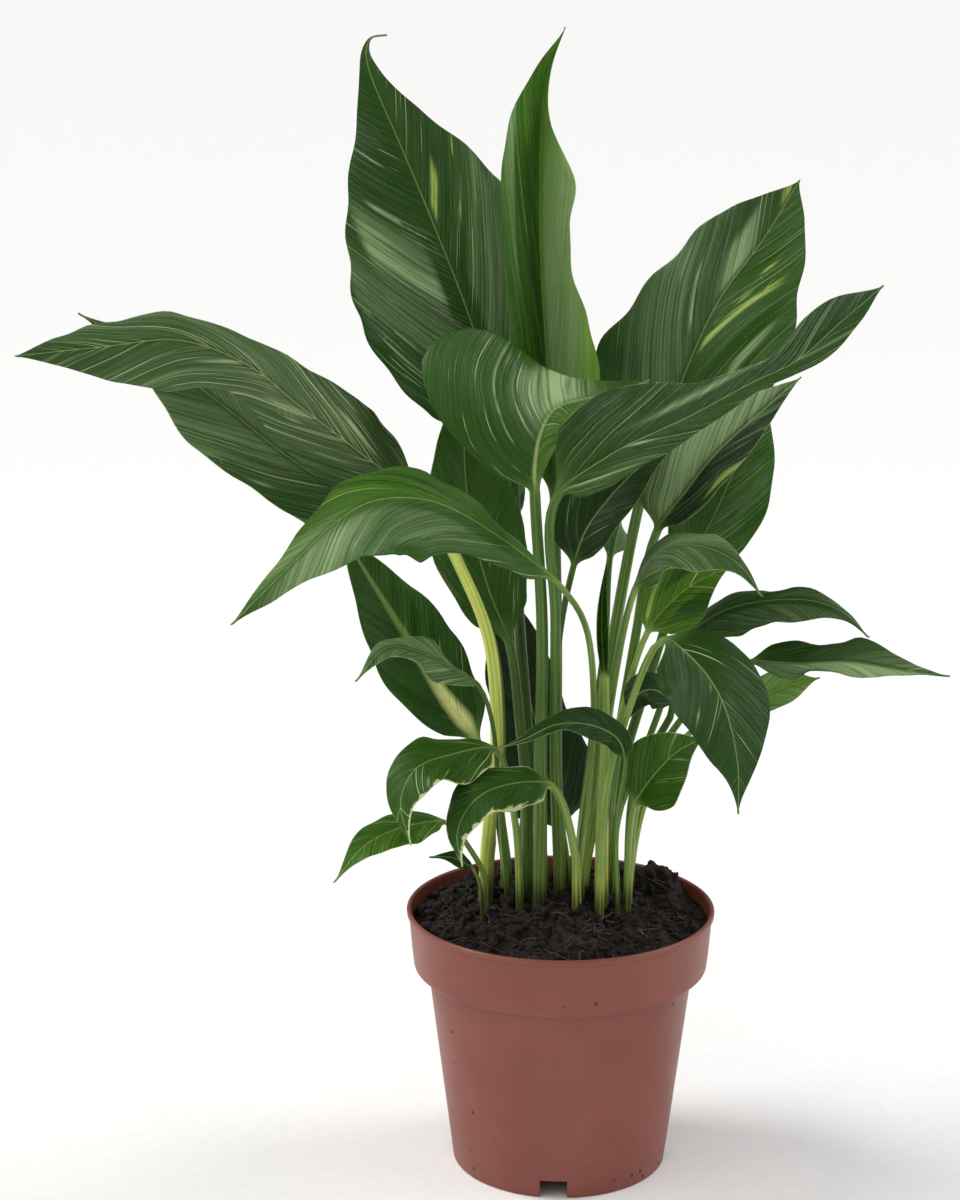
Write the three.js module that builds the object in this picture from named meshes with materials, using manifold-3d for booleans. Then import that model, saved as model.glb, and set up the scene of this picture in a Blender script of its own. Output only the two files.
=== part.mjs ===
// A potted peace lily with streaked leaves, in millimetres, +Z up.
// The origin is the middle of the flat disc under the pot, on the floor, and the front looks along -Y.
import * as THREE from "three";
import { mergeVertices } from "three/addons/utils/BufferGeometryUtils.js";
import Module from "manifold-3d";

const wasm = await Module();
wasm.setup();

// Pot: a thin moulded nursery pot with a collar, a raised floor and four notches at its foot.
const rimRadius = 60;
const potHeight = 104;
const rimLip = 2.4; // depth of the rounded lip
const rimRound = 0.4; // rounding of its edges
const collarHeight = 82; // lower end of the collar
const collarRadius = 57.3;
const neckHeight = 78; // upper end of the body
const neckRadius = 51.6;
const baseRadius = 42;
const footWidth = 1.6; // the ring that the pot stands on
const footSlope = 1.3;
const wall = 1.3;
const floorHeight = 5.5; // underside of the raised floor
const discRadius = 13; // the dimple in the floor that stands on the ground
const discSlope = 2;
const notchWidth = 10.5;
const notchHeight = 7.5;
const notchTurn = THREE.MathUtils.degToRad(-4.4);
const drainRadius = 3.2;
const drainCircle = 27;
const potSides = 40;

// Soil: peat, a little below the rim and heaped round the stems.
const soilFloor = 7.2;
const soilEdge = 98;
const heapHeight = 8;
const heapRadius = 30;
const crown = [-1, 13]; // middle of the clump of stems
const soilGap = 0.45;
const stemGap = 0.35;
const stemFoot = 86; // lower end of every stem
const stemTop = soilEdge + heapHeight + 6; // a stem leaves the soil upright, up to here

// Leaves: each is its stalk and its blade, grown in one piece.
const bladeThickness = 0.85;
const edgeThickness = 0.65;
const tipRadius = 0.4;
const strips = 4; // strips across a blade
const stalkTaper = 0.6; // a stalk narrows to this share of its foot
const stalkStep = 26; // between rings
const bladeStep = 11;

const potColour = "#80493f";
const soilColour = "#241b18";
const leafColour = "#2c5a27";

// foot: where the stalk leaves the soil, with the radius of its stem there.
// stalk: points up to the blade. rib: points along the middle of the blade, to its tip.
// facing: which way the upper side looks, from the foot of the blade to its tip.
// half: breadth of the left and right halves. fold, curl: how far each bends up from the rib, in degrees.
// wave: height of the waves along the edges, and how many there are.
// point: how drawn out the tip is. early: above 0.75 the blade is widest nearer to its tip.
// outline: where given, the left and right breadths from foot to tip instead, as shares of half.
// step: distance between rings along a blade that turns sharply.
const leaves = [
  { name: "leaf_tall_left", foot: [-14, 28], stem: 3.4,
    stalk: [[-12, 32, 145], [-16, 40, 209]],
    rib: [[-20, 46, 276], [-35, 53, 326], [-50, 61, 364], [-63, 69, 394], [-74, 76, 419],
      [-76, 80, 428], [-74, 83, 433], [-68, 86, 434]],
    facing: [[3, -10, 2], [2, -10, 3], [1, -10, 3]],
    half: [43, 36], fold: [4, 6], curl: [10, 0], wave: [2, 3], point: 1.1, early: 0.7 },
  { name: "leaf_tall_centre", foot: [1, 28], stem: 3.2,
    stalk: [[-1, 30, 146], [-1, 38, 201]],
    rib: [[-2, 42, 253], [-5, 46, 304], [-8, 48, 354], [-8, 48, 396], [-6, 49, 420], [1, 52, 438]],
    facing: [[0, -10, 1], [0, -10, 2], [-2, -10, 2]],
    outline: [[0, 0.6, 0.9, 1, 1, 1, 1, 1, 0.8, 0.3, 0],
      [0, 0.55, 1, 1, 0.83, 0.6, 0.62, 0.72, 0.2, 0.08, 0]],
    half: [25, 32], fold: [52, 38], curl: [10, 30], wave: [0.6, 2] },
  { name: "leaf_front_fold", foot: [-8, 3], stem: 3.4,
    stalk: [[-8, 0, 155], [-8, -8, 221]],
    rib: [[-11, -16, 270], [-11, -18, 282], [-9, -17, 294], [-4, -11, 302], [6, -1, 304], [19, 9, 305],
      [33, 19, 308]],
    facing: [[0, -10, 1], [1, -10, 2], [0, -9, 5], [0, -4, 9], [0, -3, 10], [0, -2, 10]],
    outline: [[0, 0.28, 0.54, 0.88, 1, 0.72, 0.4, 0.27, 0.2, 0.11, 0],
      [0, 0.6, 1, 1, 0.7, 0.5, 0.45, 0.4, 0.3, 0.15, 0]],
    half: [51, 11], fold: [4, -50], curl: [0, 0], wave: [0.8, 2], step: 4.5 },
  { name: "leaf_right_arm", foot: [0, 9], stem: 3.0,
    stalk: [[-2, 5, 154], [-3, -11, 222]],
    rib: [[-4, -22, 269], [14, -33, 288], [44, -42, 305], [65, -44, 317], [81, -44, 325],
      [96, -42, 338], [112, -38, 351]],
    facing: [[-2, -8, 6], [-2, -8, 6], [-1, -8, 6]],
    outline: [[0, 0.8, 1, 0.92, 0.66, 0.42, 0.28, 0.26, 0.44, 0.34, 0],
      [0, 0.5, 0.62, 0.66, 0.48, 0.36, 0.26, 0.24, 0.38, 0.26, 0]],
    half: [23, 22], fold: [8, 18], curl: [0, 0], wave: [0.8, 3] },
  { name: "leaf_right_big", foot: [10, 33], stem: 3.4,
    stalk: [[13, 32, 145], [21, 34, 202]],
    rib: [[33, 36, 266], [45, 45, 298], [61, 56, 332], [80, 69, 356], [95, 80, 378]],
    facing: [[-3, -10, 2], [-3, -10, 3], [-2, -10, 3]],
    outline: [[0, 0.7, 0.95, 1, 0.88, 0.78, 0.66, 0.62, 0.52, 0.28, 0],
      [0, 0.7, 0.95, 1, 1, 1, 0.9, 0.72, 0.52, 0.28, 0]],
    half: [36, 35], fold: [10, 0], curl: [8, 0], wave: [1.0, 3] },
  { name: "leaf_right_lower", foot: [18, 22], stem: 2.8,
    stalk: [[21, 23, 148], [29, 21, 206]],
    rib: [[36, 15, 249], [48, 15, 267], [58, 19, 279], [80, 26, 298], [92, 32, 307]],
    facing: [[-3, -8, 5], [-3, -8, 5], [-2, -8, 5]],
    outline: [[0, 0.8, 1, 0.95, 0.85, 0.7, 0.55, 0.42, 0.3, 0.15, 0],
      [0, 0.5, 0.8, 0.95, 1, 0.92, 0.78, 0.58, 0.36, 0.16, 0]],
    half: [22, 19], fold: [14, 30], curl: [0, 10], wave: [0.8, 2] },
  { name: "leaf_right_behind", foot: [21, 31], stem: 2.8,
    stalk: [[24, 32, 145], [38, 40, 192]],
    rib: [[49, 48, 225], [61, 56, 246], [72, 64, 269], [80, 74, 285], [85, 81, 296]],
    facing: [[-2, -10, 2], [-2, -10, 2], [-2, -10, 2]],
    half: [19, 19], fold: [10, 10], curl: [0, 0], wave: [1, 2] },
  { name: "leaf_right_droop", foot: [10, 12], stem: 2.2,
    stalk: [[15, 6, 145], [19, 2, 187]],
    rib: [[27, -6, 232], [36, -16, 250], [50, -27, 254], [63, -34, 249], [72, -37, 237]],
    facing: [[-3, -5, 8], [1, -5, 9], [4, -5, 8]],
    half: [13, 13], fold: [-14, -18], curl: [0, 0], wave: [0.8, 2] },
  { name: "leaf_right_bright", foot: [10, 20], stem: 2,
    stalk: [[16, 18, 141], [24, 15, 179]],
    rib: [[33, 11, 211], [41, 11, 222], [51, 13, 230], [65, 15, 236]],
    facing: [[2, -10, 3], [2, -10, 3], [2, -10, 3]],
    half: [13, 13], fold: [10, 10], curl: [0, 0], wave: [0.6, 2] },
  { name: "leaf_right_arc", foot: [27, 15], stem: 2,
    stalk: [[29, 20, 145], [39, 22, 177]],
    rib: [[48, 22, 205], [62, 18, 218], [80, 12, 224], [97, 6, 225], [108, 2, 221], [117, 0, 212]],
    facing: [[-2, -4, 9], [0, -4, 9], [3, -4, 9]],
    half: [13, 13], fold: [-10, -16], curl: [-10, -10], wave: [0.8, 2] },
  { name: "leaf_right_flat", foot: [27, 6], stem: 2,
    stalk: [[31, 4, 150], [49, 4, 182]],
    rib: [[70, 2, 201], [90, -3, 203], [108, -12, 206], [126, -20, 205], [143, -30, 205]],
    facing: [[0, -3, 9], [0, -3, 9], [2, -3, 9]],
    half: [12, 12], fold: [14, 4], curl: [0, 0], wave: [2, 2] },
  { name: "leaf_front_drop", foot: [15, -6], stem: 2.2,
    stalk: [[17, -8, 150], [25, -12, 187]],
    rib: [[37, -16, 215], [49, -29, 210], [58, -40, 198], [63, -50, 178], [63, -57, 160]],
    facing: [[1, -8, 6], [3, -10, 4], [4, -10, 0]],
    half: [19, 19], fold: [-6, -6], curl: [0, 0], wave: [1.2, 2] },
  { name: "leaf_right_pale", foot: [29, 24], stem: 1.8,
    stalk: [[36, 26, 143], [51, 26, 166]],
    rib: [[73, 26, 178], [85, 26, 184], [94, 26, 187], [102, 26, 189]],
    facing: [[-1, -8, 6], [0, -8, 6], [0, -8, 6]],
    half: [8, 8], fold: [0, 0], curl: [0, 0], wave: [0.5, 2] },
  { name: "leaf_low_right", foot: [26, -1], stem: 2,
    stalk: [[26, -3, 128]],
    rib: [[28, -4, 146], [34, -10, 159], [43, -18, 172], [53, -25, 180]],
    facing: [[-4, -9, 3], [-4, -9, 3], [-3, -9, 3]],
    half: [14, 14], fold: [4, 4], curl: [0, 0], wave: [0.8, 2] },
  { name: "leaf_mid_right", foot: [20, 11], stem: 2.4,
    stalk: [[24, 9, 144], [37, 9, 168]],
    rib: [[43, 7, 183], [36, 5, 190], [30, 4, 189], [25, 2, 178]],
    facing: [[3, -8, 6], [0, -8, 6], [-4, -8, 3]],
    half: [8, 8], fold: [-4, -4], curl: [0, 0], wave: [0.6, 2] },
  { name: "leaf_left_big", foot: [-29, 13], stem: 3.4,
    stalk: [[-27, 8, 144], [-25, 4, 170], [-28, -4, 212], [-38, -10, 240]],
    rib: [[-52, -16, 267], [-75, -24, 288], [-97, -31, 307], [-115, -38, 323], [-138, -47, 333],
      [-163, -56, 332], [-193, -66, 330]],
    facing: [[-2, -8, 6], [-2, -8, 6], [-1, -8, 6]],
    outline: [[0, 0.45, 0.64, 0.64, 0.56, 0.47, 0.62, 0.8, 0.6, 0.27, 0],
      [0, 0.75, 0.9, 0.86, 0.72, 0.6, 0.66, 0.86, 0.78, 0.46, 0]],
    half: [25, 24], fold: [-8, -26], curl: [0, -10], wave: [1.2, 3], point: 0.35 },
  { name: "leaf_left_under", foot: [-21, 22], stem: 2.6,
    stalk: [[-24, 27, 138], [-23, 30, 162], [-26, 28, 200], [-35, 22, 225], [-48, 12, 243]],
    rib: [[-60, 4, 254], [-80, -6, 268], [-104, -10, 285], [-126, -14, 304], [-150, -18, 323],
      [-177, -22, 339]],
    facing: [[-2, -8, 6], [-2, -8, 6], [-1, -8, 6]],
    outline: [[0, 0.6, 0.78, 0.8, 0.83, 0.86, 0.82, 0.61, 0.37, 0.14, 0],
      [0, 0.6, 0.83, 0.96, 1, 0.95, 0.82, 0.61, 0.37, 0.14, 0]],
    half: [22, 22], fold: [-6, -4], curl: [0, 0], wave: [1.4, 3] },
  { name: "leaf_left_mid", foot: [8, 3], stem: 1.9,
    stalk: [[11, 2, 146], [12, -6, 189], [8, -16, 221]],
    rib: [[-1, -24, 237], [-24, -39, 260], [-49, -51, 276], [-69, -61, 278], [-82, -69, 272],
      [-94, -78, 262], [-118, -87, 239]],
    facing: [[0, -5, 9], [-2, -6, 8], [-4, -8, 6]],
    outline: [[0, 0.3, 0.45, 0.55, 0.8, 1, 0.95, 0.66, 0.36, 0.18, 0],
      [0, 0.35, 0.55, 0.75, 0.95, 1, 0.88, 0.6, 0.36, 0.2, 0]],
    half: [25, 19], fold: [-16, -12], curl: [-10, 0], wave: [1.2, 2] },
  { name: "leaf_left_hang", foot: [-28, 26], stem: 2.8,
    stalk: [[-27, 24, 123]],
    rib: [[-32, 24, 162], [-47, 28, 183], [-62, 34, 206], [-76, 42, 227], [-89, 49, 247]],
    facing: [[3, -10, 3], [3, -10, 3], [3, -10, 3]],
    half: [17, 17], fold: [6, 10], curl: [0, 0], wave: [1.2, 2] },
  { name: "leaf_left_curl", foot: [-21, 7], stem: 1.4,
    stalk: [[-24, 2, 146], [-27, -8, 182]],
    rib: [[-32, -14, 197], [-41, -23, 206], [-54, -31, 215], [-66, -38, 218], [-77, -45, 207]],
    facing: [[-1, -5, 8], [-1, -5, 8], [-3, -6, 6]],
    half: [9, 9], fold: [-10, -10], curl: [0, 0], wave: [0.8, 2] },
  { name: "leaf_centre_hang", foot: [-13, 11], stem: 3.0,
    stalk: [[-13, 12, 143], [-16, 10, 176]],
    rib: [[-20, 8, 207], [-28, 8, 229], [-34, 8, 252], [-37, 9, 275], [-37, 12, 300], [-35, 16, 322]],
    facing: [[3, -10, 2], [3, -10, 2], [2, -10, 2]],
    half: [18, 19], fold: [10, 14], curl: [0, 0], wave: [1, 2] },
  { name: "leaf_shade", foot: [2, 44], stem: 2.4,
    stalk: [],
    rib: [[2, 47, 117], [-1, 54, 127], [-5, 60, 143], [-10, 64, 165], [-16, 67, 187], [-19, 69, 212]],
    facing: [[0, -10, 1], [0, -10, 1], [0, -10, 1]],
    outline: [[0, 0.7, 1, 1, 0.92, 0.8, 0.75, 0.7, 0.55, 0.3, 0],
      [0, 0.7, 1, 0.96, 0.8, 0.66, 0.62, 0.6, 0.5, 0.3, 0]],
    half: [21, 21], fold: [6, 6], curl: [0, 0], wave: [0.8, 2] },
  { name: "leaf_low_left", foot: [-16, 0], stem: 2,
    stalk: [[-18, -2, 140]],
    rib: [[-25, -7, 169], [-43, -21, 172], [-56, -34, 170], [-61, -43, 160], [-57, -51, 146]],
    facing: [[-2, -6, 8], [-3, -6, 7], [-6, -8, 2]],
    half: [15, 13], fold: [-8, -8], curl: [0, 0], wave: [0.8, 2] },
  { name: "leaf_low_left_tip", foot: [-29, 4], stem: 1.6,
    stalk: [[-35, -1, 127]],
    rib: [[-44, -4, 139], [-60, -16, 142], [-75, -30, 139], [-86, -44, 129]],
    facing: [[-2, -6, 8], [-2, -6, 8], [-4, -6, 6]],
    half: [9, 9], fold: [-6, -6], curl: [0, 0], wave: [0.8, 2] },
  { name: "leaf_low_front", foot: [6, -6], stem: 2.4,
    stalk: [[5, -8, 129]],
    rib: [[-4, -14, 157], [-22, -27, 162], [-34, -38, 159], [-40, -45, 149], [-38, -52, 138]],
    facing: [[-2, -6, 8], [-3, -6, 7], [-6, -8, 2]],
    half: [13, 13], fold: [-8, -8], curl: [0, 0], wave: [0.8, 2] },
  { name: "leaf_cross", foot: [22, -5], stem: 1.4,
    stalk: [[21, -8, 129], [22, -12, 151]],
    rib: [[24, -15, 166], [20, -19, 178], [10, -22, 184], [-3, -25, 185], [-15, -28, 180],
      [-25, -30, 177]],
    facing: [[-4, -8, 4], [-2, -6, 8], [-2, -6, 8]],
    half: [6, 6], fold: [8, 8], curl: [0, 0], wave: [0.6, 2] },
  { name: "leaf_rolled", foot: [16, 2], stem: 3.4,
    stalk: [[16, 1, 147]],
    rib: [[16, -2, 196], [15, -2, 212], [15, -2, 227], [17, -2, 246]],
    facing: [[0, -10, 1], [0, -10, 1], [0, -10, 1]],
    half: [8, 8], fold: [45, 45], curl: [60, 60], wave: [0.4, 2] },
  { name: "leaf_sprout", foot: [-31, -5], stem: 1.2,
    stalk: [],
    rib: [[-34, -6, 121], [-40, -8, 126], [-45, -8, 127], [-51, -9, 127]],
    facing: [[-2, -4, 8], [-2, -4, 8], [-2, -4, 8]],
    half: [3, 3], fold: [6, 6], curl: [0, 0], wave: [0.3, 2] },
  { name: "leaf_back_left", foot: [-6, 36], stem: 2.2,
    stalk: [[-11, 42, 150], [-15, 52, 197]],
    rib: [[-23, 62, 228], [-27, 76, 250], [-29, 94, 267], [-27, 112, 278]],
    facing: [[0, 6, 8], [0, 5, 9], [0, 3, 10]],
    half: [17, 17], fold: [-4, -4], curl: [0, 0], wave: [1, 2] },
  { name: "leaf_back_right", foot: [9, 42], stem: 2.2,
    stalk: [[13, 50, 148], [19, 58, 196]],
    rib: [[21, 68, 227], [26, 80, 249], [31, 98, 266], [34, 118, 275]],
    facing: [[0, 6, 8], [0, 5, 9], [0, 3, 10]],
    half: [17, 17], fold: [-4, -4], curl: [0, 0], wave: [1, 2] },
  { name: "leaf_under_arm", foot: [3, 19], stem: 2,
    stalk: [[-2, 16, 150], [-1, 10, 208]],
    rib: [[4, 2, 239], [8, 0, 253], [16, 0, 265], [29, 2, 278], [45, 6, 287]],
    facing: [[-3, -8, 4], [-3, -8, 4], [-2, -8, 4]],
    half: [17, 11], fold: [6, 6], curl: [0, 0], wave: [0.8, 2] },
];

const vector = (point) => new THREE.Vector3(...point);
const { degToRad, lerp, smoothstep } = THREE.MathUtils;

// Breadth of one side of a blade from its foot (0) to its tip (1), as a share of its widest.
function breadth({ outline, point = 0.7, early = 0.75 }, along, side) {
  if (outline) {
    const spots = outline[side].map((share, i) => new THREE.Vector2(i, share));
    return Math.max(0, new THREE.SplineCurve(spots).getPoint(along).y);
  }
  return Math.sin(Math.PI * along ** early) ** (0.75 + point * along);
}

// The way a blade faces at one place along it, square to its rib.
function facingAt(leaf, along, tangent) {
  const spot = along * (leaf.facing.length - 1);
  const before = Math.min(Math.floor(spot), leaf.facing.length - 2);
  const from = vector(leaf.facing[before]).normalize();
  const to = vector(leaf.facing[before + 1]).normalize();
  const up = from.lerp(to, spot - before);
  return up.addScaledVector(tangent, -up.dot(tangent)).normalize();
}

// Where the upper and lower side of a blade lie, sideways and upwards from its rib.
// across runs from -1 at the left edge to 1 at the right edge.
function bladeSection(leaf, along, across, ribRadius) {
  const side = across < 0 ? 0 : 1;
  const away = Math.abs(across);
  const share = breadth(leaf, along, side);
  const reach = Math.max(leaf.half[side] * share, tipRadius) * away;
  const bend = degToRad(leaf.fold[side] + (leaf.curl[side] * away) / 2);
  const [waveHeight, waves] = leaf.wave;
  const ripple = waveHeight * share * away ** 2 * Math.sin(2 * Math.PI * along * waves + 2.2 * side);
  const rib = ribRadius * Math.max(0, 1 - (away * strips) / 2) * (1 - along);
  const thickness = away === 1 ? edgeThickness : bladeThickness + rib;
  const upper = reach * Math.sin(bend) + ripple;
  return { out: Math.sign(across) * reach * Math.cos(bend), upper, lower: upper - thickness };
}

// One ring of a leaf: the round stalk where flat is 0, the blade where flat is 1.
function leafRing(leaf, centre, tangent, { along, flat, radius }) {
  const up = facingAt(leaf, along, tangent);
  const right = tangent.clone().cross(up);
  const place = (out, height) => centre.clone().addScaledVector(right, out).addScaledVector(up, height);
  const upper = [];
  const lower = [];
  for (let i = 0; i <= strips; i++) {
    const angle = Math.PI * (0.94 - (0.88 * i) / strips);
    const [roundOut, roundUp] = [radius * Math.cos(angle), radius * Math.sin(angle)];
    const blade = bladeSection(leaf, along, (2 * i) / strips - 1, radius);
    const out = lerp(roundOut, blade.out, flat);
    upper.push(place(out, lerp(roundUp, blade.upper, flat)));
    lower.unshift(place(out, lerp(-roundUp, blade.lower, flat)));
  }
  return [...upper, ...lower];
}

// A leaf's middle line, from the foot of its stem to the tip of its blade.
function leafPath(leaf) {
  const [x, y] = leaf.foot;
  const stem = [new THREE.Vector3(x, y, stemFoot), new THREE.Vector3(x, y, stemTop)];
  const points = [...stem, ...leaf.stalk.map(vector), ...leaf.rib.map(vector)];
  return new THREE.CatmullRomCurve3(points, false, "centripetal");
}

// Length along a path up to one of its points.
function lengthTo(path, index) {
  const divisions = 400;
  const share = index / (path.points.length - 1);
  return path.getLengths(divisions)[Math.round(share * divisions)];
}

// Round rings up the stalk, then flat ones along the blade, and a small round one at the tip.
function leafRings(leaf) {
  const path = leafPath(leaf);
  const whole = path.getLength();
  const stalkLength = lengthTo(path, leaf.stalk.length + 2);
  const bladeLength = whole - stalkLength;
  const stalkSteps = Math.max(3, Math.round(stalkLength / stalkStep));
  const bladeSteps = Math.max(8, Math.round(bladeLength / (leaf.step ?? bladeStep)));
  const rings = [];
  for (let i = 0; i < stalkSteps; i++) {
    const share = i / stalkSteps;
    const radius = lerp(leaf.stem, leaf.stem * stalkTaper, share ** 0.5);
    rings.push({ at: stalkLength * share, along: 0, flat: 0, radius });
  }
  for (let i = 0; i < bladeSteps; i++) {
    const even = i / bladeSteps;
    const along = (even + 0.5 - 0.5 * Math.cos(Math.PI * even)) / 2; // closer together at both ends
    const flat = smoothstep(along, 0, 0.12);
    rings.push({ at: stalkLength + bladeLength * along, along, flat, radius: leaf.stem * stalkTaper });
  }
  rings.push({ at: whole, along: 1, flat: 0, radius: tipRadius });
  return rings.map((section) => {
    const share = section.at / whole;
    return leafRing(leaf, path.getPointAt(share), path.getTangentAt(share), section);
  });
}

// Joins rings of equal size into one closed body with flat ends.
// The diagonals run alike on the upper and the lower side, so a waved blade doesn't cross itself.
function loft(rings) {
  const size = rings[0].length;
  const faces = [];
  for (let ring = 0; ring < rings.length - 1; ring++) {
    for (let i = 0; i < size; i++) {
      const [a, b] = [ring * size + i, ring * size + ((i + 1) % size)];
      const [c, d] = [a + size, b + size];
      faces.push(...(i < size / 2 ? [a, b, c, b, d, c] : [a, b, d, a, d, c]));
    }
  }
  const last = (rings.length - 1) * size;
  for (let i = 1; i < size - 1; i++) {
    faces.push(0, i + 1, i, last, last + i, last + i + 1);
  }
  const positions = rings.flat().flatMap((point) => point.toArray());
  const geometry = new THREE.BufferGeometry();
  geometry.setAttribute("position", new THREE.Float32BufferAttribute(positions, 3));
  geometry.setIndex(faces);
  return geometry;
}

// The hole that a stem stands in: the stem's own shape, a little wider.
function stemHole(leaf) {
  const section = { along: 0, flat: 0, radius: leaf.stem + stemGap };
  const upward = new THREE.Vector3(0, 0, 1);
  const ringAt = (height) => leafRing(leaf, new THREE.Vector3(...leaf.foot, height), upward, section);
  return loft([ringAt(stemFoot - stemGap), ringAt(stemTop)]);
}

// A body of revolution from [radius, height] pairs that start and end on the axis.
function turned(profile) {
  const geometry = new THREE.LatheGeometry(profile.map((pair) => new THREE.Vector2(...pair)), potSides);
  return geometry.rotateX(Math.PI / 2);
}

function solidFrom(geometry) {
  const bare = geometry.clone();
  bare.deleteAttribute("normal");
  bare.deleteAttribute("uv");
  const merged = mergeVertices(bare, 1e-4);
  return new wasm.Manifold(new wasm.Mesh({
    numProp: 3,
    vertProperties: new Float32Array(merged.attributes.position.array),
    triVerts: new Uint32Array(merged.index.array),
  }));
}

function geometryFrom(solid) {
  const mesh = solid.getMesh();
  const geometry = new THREE.BufferGeometry();
  geometry.setAttribute("position", new THREE.Float32BufferAttribute(mesh.vertProperties, 3));
  geometry.setIndex(new THREE.Uint32BufferAttribute(mesh.triVerts, 1));
  return geometry;
}

function potGeometry() {
  const outside = [
    [0, 0], [discRadius, 0], [discRadius + discSlope, floorHeight],
    [baseRadius - footWidth - 2 * footSlope, floorHeight],
    [baseRadius - footWidth - rimRound, 0], [baseRadius - rimRound, 0], [baseRadius, 2 * rimRound],
    [neckRadius, neckHeight], [collarRadius, collarHeight], [rimRadius - rimRound, potHeight - rimLip],
    [rimRadius, potHeight - rimLip + rimRound], [rimRadius, potHeight - rimRound],
    [rimRadius - rimRound, potHeight],
  ];
  const inside = [
    [rimRadius - wall - rimRound, potHeight], [rimRadius - wall - rimRound, potHeight - rimLip],
    [collarRadius - wall, collarHeight + rimRound], [neckRadius - wall, neckHeight + rimRound],
    [baseRadius - wall, floorHeight + wall], [discRadius + discSlope / 2, floorHeight + wall],
    [discRadius - discSlope / 2, wall], [0, wall],
  ];
  let pot = solidFrom(turned([...outside, ...inside]));
  for (let i = 0; i < 4; i++) {
    const turn = notchTurn + (i * Math.PI) / 2;
    const notch = new THREE.BoxGeometry(notchWidth, 8, 2 * notchHeight);
    notch.translate(0, 1 - baseRadius, 0).rotateZ(turn);
    const drain = new THREE.CylinderGeometry(drainRadius, drainRadius, 6, 12);
    drain.rotateX(Math.PI / 2).translate(0, -drainCircle, floorHeight).rotateZ(turn + Math.PI / 4);
    pot = pot.subtract(solidFrom(notch)).subtract(solidFrom(drain));
  }
  return geometryFrom(pot);
}

// Height of the soil: level near the wall, heaped round the stems and cloddy.
function soilHeight(x, y) {
  const fromCrown = Math.hypot(x - crown[0], y - crown[1]);
  const heap = heapHeight * Math.exp(-((fromCrown / heapRadius) ** 2));
  const clods = Math.sin(x * 0.31 + 2) * Math.cos(y * 0.27) + Math.sin(x * 0.13 - y * 0.19 + 1);
  const mound = 5 * Math.exp(-((x - 36) ** 2 + (y - 22) ** 2) / 140); // a lump at the back right
  const calm = 1 - (Math.hypot(x, y) / rimRadius) ** 4;
  return soilEdge + heap + mound + clods * calm;
}

function soilGeometry() {
  const gap = wall + soilGap;
  const outside = [
    [0, soilFloor], [baseRadius - gap - 0.3, soilFloor], [neckRadius - gap, neckHeight + 1],
    [collarRadius - gap, collarHeight + 1], [rimRadius - gap - 1.4, soilEdge],
  ];
  const top = [50, 41, 32, 22, 11, 0].map((radius) => [radius, soilEdge]);
  const block = turned([...outside, ...top]);
  const spots = block.attributes.position;
  for (let i = 0; i < spots.count; i++) {
    if (spots.getZ(i) > soilEdge - 0.1) {
      spots.setZ(i, soilHeight(spots.getX(i), spots.getY(i)));
    }
  }
  return leaves.reduce((soil, leaf) => soil.subtract(solidFrom(stemHole(leaf))), solidFrom(block));
}

const plant = new THREE.Group();

function addPiece(name, geometry, color, roughness) {
  const material = new THREE.MeshStandardMaterial({ color, roughness, metalness: 0 });
  const mesh = new THREE.Mesh(geometry, material);
  mesh.name = name;
  plant.add(mesh);
}

addPiece("pot", potGeometry(), potColour, 0.45);
addPiece("soil", geometryFrom(soilGeometry()), soilColour, 1);
for (const leaf of leaves) {
  addPiece(leaf.name, loft(leafRings(leaf)), leafColour, 0.4);
}

export default plant;
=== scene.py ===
# A potted peace lily with streaked leaves, dressed for rendering: metres, +Z up, origin at the pot's foot.
import math
from functools import partial

import bpy
import numpy as np
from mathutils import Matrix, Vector


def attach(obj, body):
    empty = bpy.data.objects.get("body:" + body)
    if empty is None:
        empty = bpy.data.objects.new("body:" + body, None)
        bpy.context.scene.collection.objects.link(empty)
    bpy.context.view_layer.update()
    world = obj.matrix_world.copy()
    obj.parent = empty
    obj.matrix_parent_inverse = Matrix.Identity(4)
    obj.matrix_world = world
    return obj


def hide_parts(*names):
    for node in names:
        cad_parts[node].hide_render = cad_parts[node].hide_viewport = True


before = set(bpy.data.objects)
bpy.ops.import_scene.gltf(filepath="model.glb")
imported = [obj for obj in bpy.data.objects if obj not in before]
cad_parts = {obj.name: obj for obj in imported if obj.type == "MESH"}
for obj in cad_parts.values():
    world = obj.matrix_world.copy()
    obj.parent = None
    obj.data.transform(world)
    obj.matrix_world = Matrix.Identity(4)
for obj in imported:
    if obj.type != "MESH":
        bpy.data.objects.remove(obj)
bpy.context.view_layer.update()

mm = 0.001
print("frame loaded:", len(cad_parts), "nodes")


def hexColour(code):
    # an sRGB hex value as the linear colour that a socket takes
    parts = [int(code[i:i + 2], 16) / 255 for i in (1, 3, 5)]
    return (*[p / 12.92 if p <= 0.04045 else ((p + 0.055) / 1.055) ** 2.4 for p in parts], 1.0)


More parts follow.
